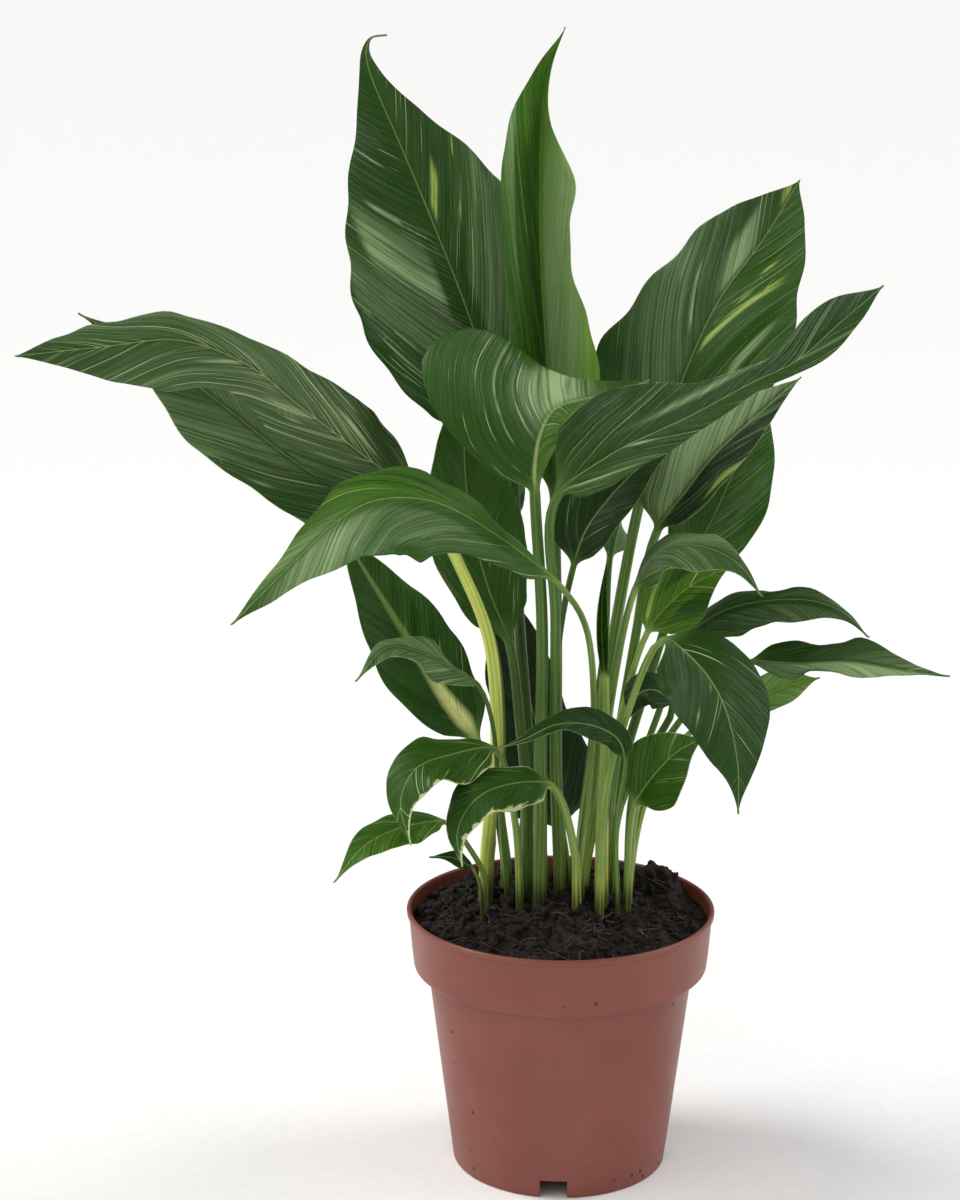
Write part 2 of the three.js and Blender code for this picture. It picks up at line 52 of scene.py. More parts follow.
def addNode(tree, kind, *inputs, stops=(), **settings):
    # Adds a node with its settings, its inputs and the colour stops of a ramp. Inputs come in the order of
    # the sockets, or in a dictionary by name or number. Each is a constant, a socket to link, or a node, for
    # its first output in use. "Math" is short for ShaderNodeMath. MapRange takes a value, the range that it
    # comes from and the one it goes to. Mix takes a share and, as 6 and 7, the colours at 0 and 1.
    whole = kind.startswith(("Geometry", "Function", "NodeGroup"))
    node = tree.nodes.new(kind if whole else "ShaderNode" + kind)
    for name, value in settings.items():
        setattr(node, name, value)
    given = {}
    for i, value in enumerate(inputs):
        given.update(value if isinstance(value, dict) else {i: value})
    for key, value in given.items():
        if isinstance(value, bpy.types.Node):
            value = next(output for output in value.outputs if output.enabled)
        if isinstance(value, bpy.types.NodeSocket):
            tree.links.new(value, node.inputs[key])
        else:
            node.inputs[key].default_value = value
    for i, (place, colour) in enumerate(stops):
        element = node.color_ramp.elements[i] if i < 2 else node.color_ramp.elements.new(place)
        element.position = place
        element.color = hexColour(colour)
    return node


def newMaterial(name):
    # An empty material, and addNode for its tree. On Object coordinates a pattern's scale is how many of its
    # lumps or cells go to a metre, so 26 makes them 38 mm across.
    material = bpy.data.materials.new(name)
    material.use_nodes = True
    material.node_tree.nodes.clear()
    return material, partial(addNode, material.node_tree)


def newObject(name, data):
    thing = bpy.data.objects.new(name, data)
    bpy.context.scene.collection.objects.link(thing)
    return thing


def newPiece(name, points, faces, material, smooth=True):
    mesh = bpy.data.meshes.new(name)
    mesh.from_pydata([tuple(p) for p in points], [], faces)
    mesh.validate()
    mesh.materials.append(material)
    mesh.polygons.foreach_set("use_smooth", [smooth] * len(mesh.polygons))
    return newObject(name, mesh)


def ringFaces(rings, size):
    # the faces between rings of points, each ring sewn to the next
    faces = []
    for ring in range(rings - 1):
        for i in range(size):
            a, b = ring * size + i, ring * size + (i + 1) % size
            faces.append((a, b, b + size, a + size))
    return faces


def finishedMesh(piece):
    # the piece's mesh with its modifiers applied, which are then removed
    seen = bpy.context.evaluated_depsgraph_get()
    mesh = bpy.data.meshes.new_from_object(piece.evaluated_get(seen))
    piece.modifiers.clear()
    piece.data = mesh
    return mesh


photoCamera = {
    "place": (-31.4, -1000, 470.65),  # mm, fitted to the ellipses of the pot's rim and foot
    "pitchDown": 13.71,  # degrees
    "lens": 81.3,
    "sensor": 36,
    "clip": (0.05, 60),  # m
}


def makeCamera(settings):
    camera = newObject("photo_camera", bpy.data.cameras.new("photo_camera"))
    camera.location = Vector(settings["place"]) * mm
    camera.rotation_euler = (math.radians(90 - settings["pitchDown"]), 0, 0)
    camera.data.lens = settings["lens"]
    camera.data.sensor_width = settings["sensor"]
    camera.data.clip_start, camera.data.clip_end = settings["clip"]
    bpy.context.scene.camera = camera


makeCamera(photoCamera)
print("camera placed")


leafFinish = {
    "darkGreen": "#0f2c04",
    "midGreen": "#30590c",
    "brightGreen": "#7aaa28",
    "bandGreen": "#7a9861",
    "streakGreen": "#9fbb78",
    "washGreen": "#9cb680",  # broad pale washes, placed one by one; on a half lit from behind they are painted light
    "markGreen": "#a9c088",  # pale bands, placed one by one
    "fleckGreen": "#bdd06a",  # bright flecks, placed one by one
    "cream": "#dde4a8",
    "ribGreen": "#8fab5c",
    "ribCream": "#f8f6a8",
    "underside": "#56753a",
    "stalkDark": "#1f3416",
    "stalkGreen": "#567733",
    "stalkPale": "#9ab55e",
    "stalkCream": "#dde06c",
    "soilStain": "#2c2416",
    "stainTop": 22.0,  # mm above the soil's edge, where the stain ends
    "paleTop": 60.0,  # mm, the stalk's pale foot fades out up to here
    "veinSpacing": 7.0,  # mm between the main side veins
    "fineSpacing": 1.4,  # mm between the small ones
    "relief": 0.35,  # mm, the height of the veins in the bump
    "roughness": 0.33,
    "ior": 1.45,
    "gloss": 0.26,
}


def streakMask(add, place, size, seed, amount, softness):
    # Noise drawn out along the side veins. size: mm across and along a streak; amount: a socket, 0 to 1.
    spot = add("VectorMath", place, (1 / size[0], 1 / size[1], 0), operation="MULTIPLY")
    spot = add("VectorMath", spot, add("CombineXYZ", {"Z": seed}), operation="ADD")
    noise = add("TexNoise", {"Vector": spot, "Scale": 1.0, "Detail": 2.0})
    least = add("MapRange", amount, 0.0, 1.0, 0.82, 0.54)
    most = add("Math", least, softness, operation="ADD")
    return add("MapRange", noise, least, most,
               interpolation_type="SMOOTHSTEP")


def waxyLeaf(finish):
    # Living leaf with a waxy skin, IOR 1.45: satin, with veins that are sunken on the upper side, and duller
    # below. A little light bleeds through the thin blade.
    material, add = newMaterial("waxy streaked leaf")
    facts = [add("Attribute", attribute_name=name).outputs["Vector"] for name in (
        "leafPlace", "leafPart", "leafLook", "leafMore", "leafMark", "leafWashAndLight")]
    numbers = [number for fact in facts for number in add("SeparateXYZ", fact).outputs]
    place = facts[0]
    vein, _, edge, flat, under, rib, tone, streaks, margin = numbers[:9]
    seed, height, bands, middle, breadth, boldness, washAndPaintedShading, ribPale, _ = numbers[9:]

    # green of the blade: clouds, strands 2 mm across and 33 mm long, and a stripe between the small veins
    strand = add("VectorMath", place, (0.55, 0.03, 0.0), operation="MULTIPLY")
    strand = add("TexNoise", {"Vector": strand, "Scale": 1.0, "Detail": 4.0})
    strand = add("MapRange", strand, 0.3, 0.7, -1.0)
    cloud = streakMask(add, place, (18, 50), seed, tone, 0.3)
    stripe = add("Math", vein, finish["fineSpacing"] / 2, operation="PINGPONG")
    stripe = add("Math", stripe, 0.09, operation="MULTIPLY")
    shade = add("Math", cloud, 0.3, tone, operation="MULTIPLY_ADD")
    shade = add("Math", shade, stripe, operation="ADD")
    shade = add("Math", strand, 0.13, shade, operation="MULTIPLY_ADD")
    shade = add("Math", shade, 0.17, operation="SUBTRACT")
    green = add("ValToRGB", {"Fac": shade}, stops=[
        (0.0, finish["darkGreen"]), (0.5, finish["midGreen"]), (1.0, finish["brightGreen"])])
    layers = []  # what covers the green, the lowest first: where it shows, and its colour

    # pale markings of chance: broad bands, long streaks and small flecks
    chances = [  # mm across and along, amount, softness, colour, strength
        ((13, 80), bands, 0.14, "bandGreen", 0.8),
        ((2.6, 60), streaks, 0.1, "streakGreen", 0.72),
        ((1.0, 22), streaks, 0.05, "cream", 0.6),
    ]
    for i, (size, amount, softness, colour, strength) in enumerate(chances):
        shifted = add("Math", seed, 7.3 * (i + 1), operation="ADD")
        mask = streakMask(add, place, size, shifted, amount, softness)
        layers.append((add("Math", mask, strength, operation="MULTIPLY"), colour))

    # the washes, bands and flecks listed for each leaf, with frayed edges and breaks of 2 by 6 mm. Some pale
    # washes are painted light, on a half that is lit from behind.
    washedAndPaintedLight = add("Math", strand, 0.75, 0.95, operation="MULTIPLY_ADD")
    washedAndPaintedLight = add("Math", washedAndPaintedLight, washAndPaintedShading, operation="MULTIPLY")
    frayed = add("Math", strand, 0.3, operation="MULTIPLY")
    apart = add("Math", vein, middle, operation="SUBTRACT")
    apart = add("Math", apart, breadth, operation="DIVIDE")
    apart = add("Math", apart, operation="ABSOLUTE")
    apart = add("Math", apart, frayed, operation="ADD")
    onMark = add("MapRange", apart, 0.35, 1.2, 1.0, 0.0, interpolation_type="SMOOTHSTEP")
    broken = add("VectorMath", place, (0.5, 0.16, 0.0), operation="MULTIPLY")
    broken = add("TexNoise", {"Vector": broken, "Scale": 1.0, "Detail": 3.0})
    broken = add("MapRange", broken, 0.36, 0.56, 0.35)
    onMark = add("Math", onMark, broken, operation="MULTIPLY")
    marked = add("Math", onMark, boldness, operation="MULTIPLY")
    flecked = add("Math", marked, -1.0, operation="MULTIPLY")
    for mask, colour in ((washedAndPaintedLight, "washGreen"), (marked, "markGreen"), (flecked, "fleckGreen")):
        layers.append((add("MapRange", mask, 0.0, 1.0, 0.0, 0.9), colour))

    # main side veins, a little paler here and there, and the paler, matter underside
    mainVein = add("Math", vein, finish["veinSpacing"] / 2, operation="PINGPONG")
    onVein = add("MapRange", mainVein, 0.05, 0.6, 0.16, 0.0)
    onVein = add("Math", onVein, cloud, operation="MULTIPLY")
    below = add("Math", under, 0.62, operation="MULTIPLY")
    layers += [(onVein, "streakGreen"), (below, "underside")]

    # cream margin, uneven in width every 9 mm, and the pale rib
    uneven = add("TexNoise", {"Vector": place, "Scale": 0.11, "Detail": 3.0, "Roughness": 0.7})
    uneven = add("MapRange", uneven, 0.4, 0.72, 0.05)
    reach = add("Math", uneven, margin, operation="MULTIPLY")
    within = add("Math", edge, reach, operation="DIVIDE")
    onEdge = add("MapRange", within, 0.8, 1.4, 0.75, 0.0)
    creamy = add("MapRange", margin, 0.2, 0.5)
    layers.append((add("Math", onEdge, creamy, operation="MULTIPLY"), "cream"))
    onRib = add("MapRange", rib, 0.35, 1.0, 0.6, 0.0)
    bolder = add("Math", ribPale, 0.6, 1.0, operation="MULTIPLY_ADD")
    onRib = add("Math", onRib, bolder, operation="MULTIPLY")
    ribGreen, ribCream = hexColour(finish["ribGreen"]), hexColour(finish["ribCream"])
    ribColour = add("Mix", ribPale, {6: ribGreen, 7: ribCream}, data_type="RGBA")
    for mask, colour in layers:
        green = add("Mix", mask, {6: green, 7: hexColour(finish[colour])}, data_type="RGBA")
    green = add("Mix", onRib, {6: green, 7: ribColour}, data_type="RGBA")

    # stalk: pale where it leaves the soil, greener above, with ribs 1 mm wide, and stained by the soil
    grain = add("VectorMath", place, (0.02, 1.1, 0.0), operation="MULTIPLY")
    grain = add("TexNoise", {"Vector": grain, "Scale": 1.0, "Detail": 3.0})
    rise = add("MapRange", height, 0.0, finish["paleTop"], 0.25, 0.0)
    ripe = add("Math", grain, 0.9, tone, operation="MULTIPLY_ADD")
    ripe = add("Math", ripe, rise, operation="ADD")
    ripe = add("Math", ripe, 0.5, operation="SUBTRACT")
    stalk = add("ValToRGB", {"Fac": ripe}, stops=[
        (0.0, finish["stalkDark"]), (0.45, finish["stalkGreen"]), (0.8, finish["stalkPale"]),
        (1.0, finish["stalkCream"])])
    stained = add("Math", grain, finish["stainTop"], height, operation="MULTIPLY_ADD")
    stained = add("MapRange", stained, 13.0, finish["stainTop"], 0.8, 0.0)
    stalk = add("Mix", stained, {6: stalk, 7: hexColour(finish["soilStain"])}, data_type="RGBA")
    colour = add("Mix", flat, {6: stalk, 7: green}, data_type="RGBA")

    # relief: sunken veins, raised below, and the skin's cells, 1 mm across, which is as fine as shows
    ridge = add("MapRange", mainVein, 0.0, 1.0, interpolation_type="SMOOTHSTEP")
    fold = add("MapRange", under, 0.0, 1.0, 1.0, -1.0)
    relief = add("Math", ridge, fold, operation="MULTIPLY")
    relief = add("Math", relief, 0.6, operation="MULTIPLY")
    relief = add("Math", stripe, 3.0, relief, operation="MULTIPLY_ADD")
    relief = add("Math", strand, 0.9, relief, operation="MULTIPLY_ADD")
    relief = add("Math", relief, flat, operation="MULTIPLY")
    skin = add("TexCoord").outputs["Object"]
    cells = add("TexNoise", {"Vector": skin, "Scale": 900.0, "Detail": 3.0})
    relief = add("Math", cells, 0.35, relief, operation="MULTIPLY_ADD")
    bump = add("Bump", {"Height": relief, "Strength": 0.7, "Distance": finish["relief"] * mm})

    # patchy gloss, duller below
    smear = add("TexNoise", {"Vector": skin, "Scale": 45.0, "Detail": 4.0})
    rough = add("MapRange", smear, 0.0, 1.0, finish["roughness"] - 0.1, finish["roughness"] + 0.14)
    rough = add("Math", below, 0.25, rough, operation="MULTIPLY_ADD")
    add("OutputMaterial", {"Surface": add("BsdfPrincipled", {
        "Base Color": colour, "Roughness": rough, "Normal": bump, "IOR": finish["ior"],
        "Specular IOR Level": finish["gloss"], "Subsurface Weight": 0.12,
        "Subsurface Radius": (0.4, 1.0, 0.15), "Subsurface Scale": 1.5 * mm})})
    return material


leafBuild = {
    "blade": 0.5,  # mm, thickness between the rib and the edge
    "edge": 0.3,
    "tip": 0.35,  # mm, radius of the drip tip
    "columns": 26,  # strips across a blade
    "markedColumns": 60,  # the same on a blade with listed marks
    "stalkStep": 5,  # mm between rings
    "bladeStep": 1.9,
    "stalkTaper": 0.6,  # a stalk narrows to this share of its foot
    "foot": 86,  # mm, lower end of every stem, in the soil
    "stemTop": 112,  # mm, a stem is upright up to here
    "soil": 105,  # mm, the stalks' colours count from this height
    "lowTone": (122, 155),  # mm, where a stalk goes over from the tone of its foot to its own
    "flatBy": 0.12,  # share of the blade by which the stalk has flattened into it
    "groove": (0.45, 1.3),  # mm, depth and breadth of the furrow along the rib
    "quilt": 0.12,  # mm, how far the blade puffs up between its main side veins
    "pucker": (2.4, 7.0),  # mm, height of the uneven bulges between the veins, and the size of one
    "ruffle": (0.9, 4.1, 6.7),  # mm: height of the waves along the edge, and their two steps
    "crinkle": (0.4, 1.9, 13),  # small ones
    "ragged": (0.04, 5.3, 11),  # share by which the breadth varies, and its steps in mm
    "tail": 0.5,  # mm to each side of a station, between which its direction is taken
    "softRib": 2.5,  # mm from the rib in which the tones of the two halves meet
    "paleRib": (0.2, 0.45),  # share of the blade over which a pale rib ends
    "widestMark": 8,  # mm, a wider mark is a soft wash
    "farAway": 1000.0,  # mm, no mark near
}


def lumps(x, y, seed, cell):
    # smooth value noise, -0.5 to 0.5, one lump to a cell; the table repeats after 63 cells
    draw = np.random.default_rng(seed).random((64, 64))
    u, v = x / cell + 32, y / cell + 32
    i, j = np.floor(u).astype(int) % 63, np.floor(v).astype(int) % 63
    s, t = u - np.floor(u), v - np.floor(v)
    s, t = s * s * (3 - 2 * s), t * t * (3 - 2 * t)
    low = draw[i, j] * (1 - s) + draw[i + 1, j] * s
    high = draw[i, j + 1] * (1 - s) + draw[i + 1, j + 1] * s
    return low * (1 - t) + high * t - 0.5


def smoothPath(points, perSpan):
    # centripetal Catmull-Rom through the points, as the solids have it
    ends = [2 * points[0] - points[1], *points, 2 * points[-1] - points[-2]]
    samples = []
    for before, start, end, after in zip(ends, ends[1:], ends[2:], ends[3:]):
        spans = ((before, start), (start, end), (end, after))
        first, middle, last = [np.linalg.norm(b - a) ** 0.5 for a, b in spans]
        leave = (start - before) / first - (end - before) / (first + middle) + (end - start) / middle
        arrive = (end - start) / middle - (after - start) / (middle + last) + (after - end) / last
        for t in np.linspace(0, 1, perSpan, endpoint=False):
            turn = t ** 3 * 2 - 3 * t ** 2
            samples.append(start * (1 + turn) - end * turn
                           + leave * middle * (t ** 3 - 2 * t ** 2 + t) + arrive * middle * (t ** 3 - t ** 2))
    samples.append(points[-1])
    return np.array(samples)


def smoothStep(value, low, high):
    t = np.clip((value - low) / (high - low), 0, 1)
    return t * t * (3 - 2 * t)


def unit(vectors):
    return vectors / np.linalg.norm(vectors, axis=-1, keepdims=True)


def readAt(places, known, table):
    # each column of a table of vectors, read at the given places
    return np.stack([np.interp(places, known, column) for column in table.T], axis=1)


def leafStations(leaf, build):
    # places along a leaf in mm: where, which way it goes, how far along the blade, and the stalk's radius
    stem = [(*leaf["foot"], build["foot"]), (*leaf["foot"], build["stemTop"])]
    points = [np.array(p, float) for p in [*stem, *leaf["stalk"], *leaf["rib"]]]
    perSpan = 24
    samples = smoothPath(points, perSpan)
    lengths = np.concatenate([[0], np.cumsum(np.linalg.norm(np.diff(samples, axis=0), axis=1))])
    stalkLength = lengths[(len(leaf["stalk"]) + len(stem)) * perSpan]
    bladeLength = lengths[-1] - stalkLength
    stalkSteps = max(6, round(stalkLength / build["stalkStep"]))
    bladeSteps = max(24, round(bladeLength / build["bladeStep"]))
    onStalk = np.arange(stalkSteps) / stalkSteps
    even = np.arange(bladeSteps + 1) / bladeSteps
    onBlade = (even + 0.5 - 0.5 * np.cos(np.pi * even)) / 2  # closer together at the ends
    at = np.concatenate([stalkLength * onStalk, stalkLength + bladeLength * onBlade])
    behind, centre, ahead = [readAt(at + off, lengths, samples) for off in (-build["tail"], 0, build["tail"])]
    along = np.concatenate([np.zeros(stalkSteps), onBlade])
    narrowed = leaf["stem"] * build["stalkTaper"]
    radius = np.concatenate([leaf["stem"] + (narrowed - leaf["stem"]) * onStalk ** 0.5,
                             np.full(bladeSteps + 1, narrowed)])
    radius[-1] = build["tip"]
    return at - stalkLength, centre, unit(ahead - behind), along, radius


def facingAlong(leaf, along, tangent):
    # which way the blade's upper side looks at each station, eased so that the twist has no kink
    given = unit(np.array(leaf["facing"], float))
    ups = readAt(along * (len(given) - 1), np.arange(len(given)), given)
    window = max(3, len(along) // 12)
    padded = np.pad(ups, ((window, window), (0, 0)), mode="edge")
    kernel = np.ones(2 * window + 1) / (2 * window + 1)
    ups = np.stack([np.convolve(column, kernel, mode="valid") for column in padded.T], axis=1)
    ups -= tangent * np.sum(ups * tangent, axis=1, keepdims=True)
    return unit(ups)


def breadthAlong(leaf, along, side):
    # breadth of one side of a blade as a share of its widest, from its foot (0) to its tip (1)
    if "outline" not in leaf:
        return np.sin(np.pi * along ** leaf["early"]).clip(0, 1) ** (0.75 + leaf["point"] * along)
    shares = np.array(leaf["outline"][side])
    spot = along * (len(shares) - 1)
    start = np.minimum(spot.astype(int), len(shares) - 2)
    t = spot - start
    near = [shares[np.clip(start + k, 0, len(shares) - 1)] for k in (-1, 0, 1, 2)]
    leave, arrive = (near[2] - near[0]) / 2, (near[3] - near[1]) / 2
    curve = near[1] + leave * t + (3 * (near[2] - near[1]) - 2 * leave - arrive) * t ** 2
    curve += (2 * (near[1] - near[2]) + leave + arrive) * t ** 3
    return curve.clip(0)


def markPlaces(leaf, build, side, vein, reach):
    # For the narrow marks listed for the leaf: the vein and the width of the nearest one, which don't change
    # where it shows, and its strength, which fades out well clear of it. For the wide washes: how pale or
    # dark they make each place, partly painted light and shade.
    nearest, second = np.full(reach.shape, build["farAway"]), np.full(reach.shape, build["farAway"])
    middle, breadth = np.zeros(reach.shape), np.ones(reach.shape)
    amount, washAndPaintedShading = np.zeros(reach.shape), np.zeros(reach.shape)
    for onSide, at, near, far, width, strength in leaf["marks"]:
        apart = np.abs(vein - at)
        within = smoothStep(reach, near, near + 2) * (1 - smoothStep(reach, far - 2, far + 1))
        within = within * (side == onSide)
        if width > build["widestMark"]:
            washAndPaintedShading += strength * within * np.exp(-(apart / width) ** 2)
            continue
        apart = np.where((reach > near - 3) & (reach < far + 4) & (side == onSide), apart, build["farAway"])
        closer = apart < nearest
        second = np.where(closer, nearest, np.minimum(second, apart))
        nearest = np.where(closer, apart, nearest)
        middle, breadth = np.where(closer, at, middle), np.where(closer, width, breadth)
        amount = np.where(closer, strength * within, amount)
    room = np.minimum((nearest + second) / 2, breadth + 9)
    amount = amount * (1 - smoothStep(nearest, room - 3.5, room - 0.5))
    return middle, breadth, amount, washAndPaintedShading.clip(-1, 1)


def leafShape(leaf, build, seed):
    # the rings of points round a leaf, and what its material reads at each of them
    down, centre, tangent, along, radius = leafStations(leaf, build)
    up = facingAlong(leaf, along, tangent)
    right = np.cross(tangent, up)
    mix = smoothStep(along, 0, build["flatBy"])  # 0 on the round stalk, 1 on the flat blade
    mix[-1] = 0
    mix, down, radius, far = [values[:, None] for values in (mix, down, radius, along)]
    columns = build["markedColumns"] if leaf["marks"] else build["columns"]
    across = np.linspace(-1, 1, columns + 1)
    away = np.abs(across)
    side = (across > 0).astype(int)
    share = np.stack([breadthAlong(leaf, along, half) for half in (0, 1)], axis=1)[:, side]
    pick = lambda key: np.broadcast_to(np.array(leaf[key], float), 2)[side]
    varies, first, second = build["ragged"]
    ragged = 1 + varies * np.sin(down / first + 1.7 * seed + 2 * side) * np.sin(down / second + seed)
    breadth = np.maximum(share * pick("half") * ragged, build["tip"])
    reach = breadth * away

    # How far each place of the upper side stands out from the bent blade. What goes with seed and side only
    # shifts the waves, so that no two leaves and no two halves are alike.
    waveHeight, waves = leaf["wave"]
    lift = waveHeight * away ** 2 * np.sin(2 * np.pi * far * waves + 2.2 * side)
    rise, first, second = build["ruffle"]
    ruffle = np.sin(down / first + 2.3 * seed + 3 * side)
    ruffle = ruffle + 0.7 * np.sin(down / second + 1.1 * seed + 2 * side)
    lift = lift + rise * away ** 3 * ruffle
    rise, first, second = build["crinkle"]
    lift = lift + rise * away ** 4 * (np.sin(down / first + 3 * seed + side) * np.sin(down / second + seed))
    vein = down - reach * pick("slant") * (1 + 0.01 * reach)
    inside = smoothStep(reach, 0.5, 6) * (1 - away ** 6)
    swell = np.abs(np.sin(np.pi * vein / leafFinish["veinSpacing"])) - 0.6
    rise, cell = build["pucker"]
    pucker = lumps(vein, reach * 0.4 + 40 * side + seed % 20, 7, cell)
    lift = share * (lift + inside * (build["quilt"] * swell + rise * pucker))

    # the bent blade, its thickness and rib, and how the round stalk goes over into it
    bend = np.radians(pick("fold") + pick("curl") * away / 2)
    deep, wide = build["groove"]
    upper = reach * np.sin(bend) + lift - deep * np.exp(-(reach / wide) ** 2) * share ** 0.5
    ribHalf = radius * (1 - far) ** 0.7
    thickness = build["edge"] + (build["blade"] - build["edge"]) * (1 - away ** 3)
    lower = upper - thickness - ribHalf * np.exp(-(reach / np.maximum(ribHalf, 0.5)) ** 2)
    out = np.sign(across) * reach * np.cos(bend)
    angle = np.pi * (1 - (np.arange(columns + 1) + 0.5) / (columns + 1))
    roundOut, roundUp = radius * np.cos(angle), radius * np.sin(angle)
    sideways = roundOut + (out - roundOut) * mix
    over = roundUp + (upper - roundUp) * mix
    beneath = -roundUp + (lower + roundUp) * mix
    height = np.concatenate([over, beneath[:, ::-1]], axis=1)
    spread = np.concatenate([sideways, sideways[:, ::-1]], axis=1)
    points = centre[:, None] + spread[..., None] * right[:, None] + height[..., None] * up[:, None]

    # what the material reads
    signed = np.sign(across) * reach + roundOut * (1 - mix)
    ribFoot, ribTip = leaf["ribWide"]
    ribWide = ribFoot + (ribTip - ribFoot) * far ** 0.45
    soft = 0.5 + 0.5 * np.clip(signed / build["softRib"], -1, 1)
    leftTone, rightTone, ownTone = leaf["tones"]
    lowTone = leaf.get("lowTone", ownTone)
    stalkTone = lowTone + (ownTone - lowTone) * smoothStep(centre[:, 2:3], *build["lowTone"])
    # the halves' tones and the washes are partly painted light and shade: high tones and pale washes brighten
    # a half lit from behind, low tones and dark washes darken one in shadow
    middle, width, amount, washAndPaintedShading = markPlaces(leaf, build, np.sign(across), vein, reach)
    tone = stalkTone + (leftTone * (1 - soft) + rightTone * soft - stalkTone) * mix + washAndPaintedShading.clip(-1, 0) * mix
    isUnder = np.concatenate([np.zeros(reach.shape), np.ones(reach.shape)], axis=1)
    facts = {
        "leafPlace": (vein, signed, breadth - reach),
        "leafPart": (mix, mix, np.abs(signed) / ribWide),
        "leafLook": (tone, leaf["streaks"], pick("margin")),
        "leafMore": (seed, np.maximum(centre[:, 2:3] - build["soil"], 0), leaf["bands"]),
        "leafMark": (middle, width, amount),
        "leafWashAndLight": (washAndPaintedShading.clip(0, 1) * mix, leaf["ribPale"] * (1 - smoothStep(far, *build["paleRib"])), 0.0),
    }
    for key, values in facts.items():
        whole = np.stack([np.broadcast_to(value, reach.shape) for value in values], axis=-1)
        facts[key] = np.concatenate([whole, whole[:, ::-1]], axis=1).reshape(-1, 3)  # both sides
    facts["leafPart"][:, 1] *= isUnder.reshape(-1)
    return points, facts


def makeLeaf(name, leaf, build, material, seed):
    points, facts = leafShape(leaf, build, seed)
    rings, size, _ = points.shape
    faces = ringFaces(rings, size)
    half, last = size // 2, (rings - 1) * size
    for i in range(half - 1):  # end caps, sewn straight across
        faces.append((i, size - 1 - i, size - 2 - i, i + 1))
        faces.append((last + i, last + i + 1, last + size - 2 - i, last + size - 1 - i))
    piece = newPiece(name.replace("leaf_", "blade_"), points.reshape(-1, 3) * mm, faces, material)
    for key, values in facts.items():
        store = piece.data.attributes.new(key, "FLOAT_VECTOR", "POINT")
        store.data.foreach_set("vector", values.astype(np.float32).ravel())
    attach(piece, "root")
    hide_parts(name)
    return piece


# Some washes are painted light and shade: pale on a half lit from behind, dark beside the rib in a fold.
# The tones of a few halves are painted light and shade: a half in shadow near 0, a half lit from behind at 1.
# foot: where the stalk leaves the soil. stem: the radius of its stem there, in mm.
# stalk, rib: points up the stalk and along the middle of the blade, in mm, as the solids have them.
# facing: which way the upper side looks, from the foot of the blade to its tip.
# half: breadth of the left and right halves. fold, curl: how far each bends up from the rib, in degrees.
# wave: height of the edge's waves and how many. point: how drawn out the tip is. early: where it is widest.
# outline: where given, the left and right breadths from foot to tip instead, as shares of half.
# slant: mm along the rib by which a side vein gets ahead while it goes 1 mm outwards.
# tones: light or dark, 0 to 1, of the left half, the right half and the stalk. lowTone: of the stalk's foot.
# streaks, bands: how much of each. margin: mm of cream edge. ribPale: how pale the foot of the rib is.
# ribWide: mm from the middle to the pale rib's side, at its foot and its tip.
# marks: (side, vein, from, to, width, strength): a band along the vein that meets the rib that many mm from
# the blade's foot, on the left (-1) or right (1), from so far to so far from the rib; below 0 is a bright
# fleck. One wider than widestMark is a wash: paler, or darker below 0.
# For half, fold, curl, slant and margin, one number stands for left and right.
usualLeaf = {
    "stalk": [], "curl": 0, "wave": (0.8, 2), "point": 0.7, "early": 0.75, "slant": 1.6, "streaks": 0.5,
    "bands": 0.45, "margin": 0.2, "ribWide": (0.7, 0.25), "ribPale": 0.0, "marks": [],
}

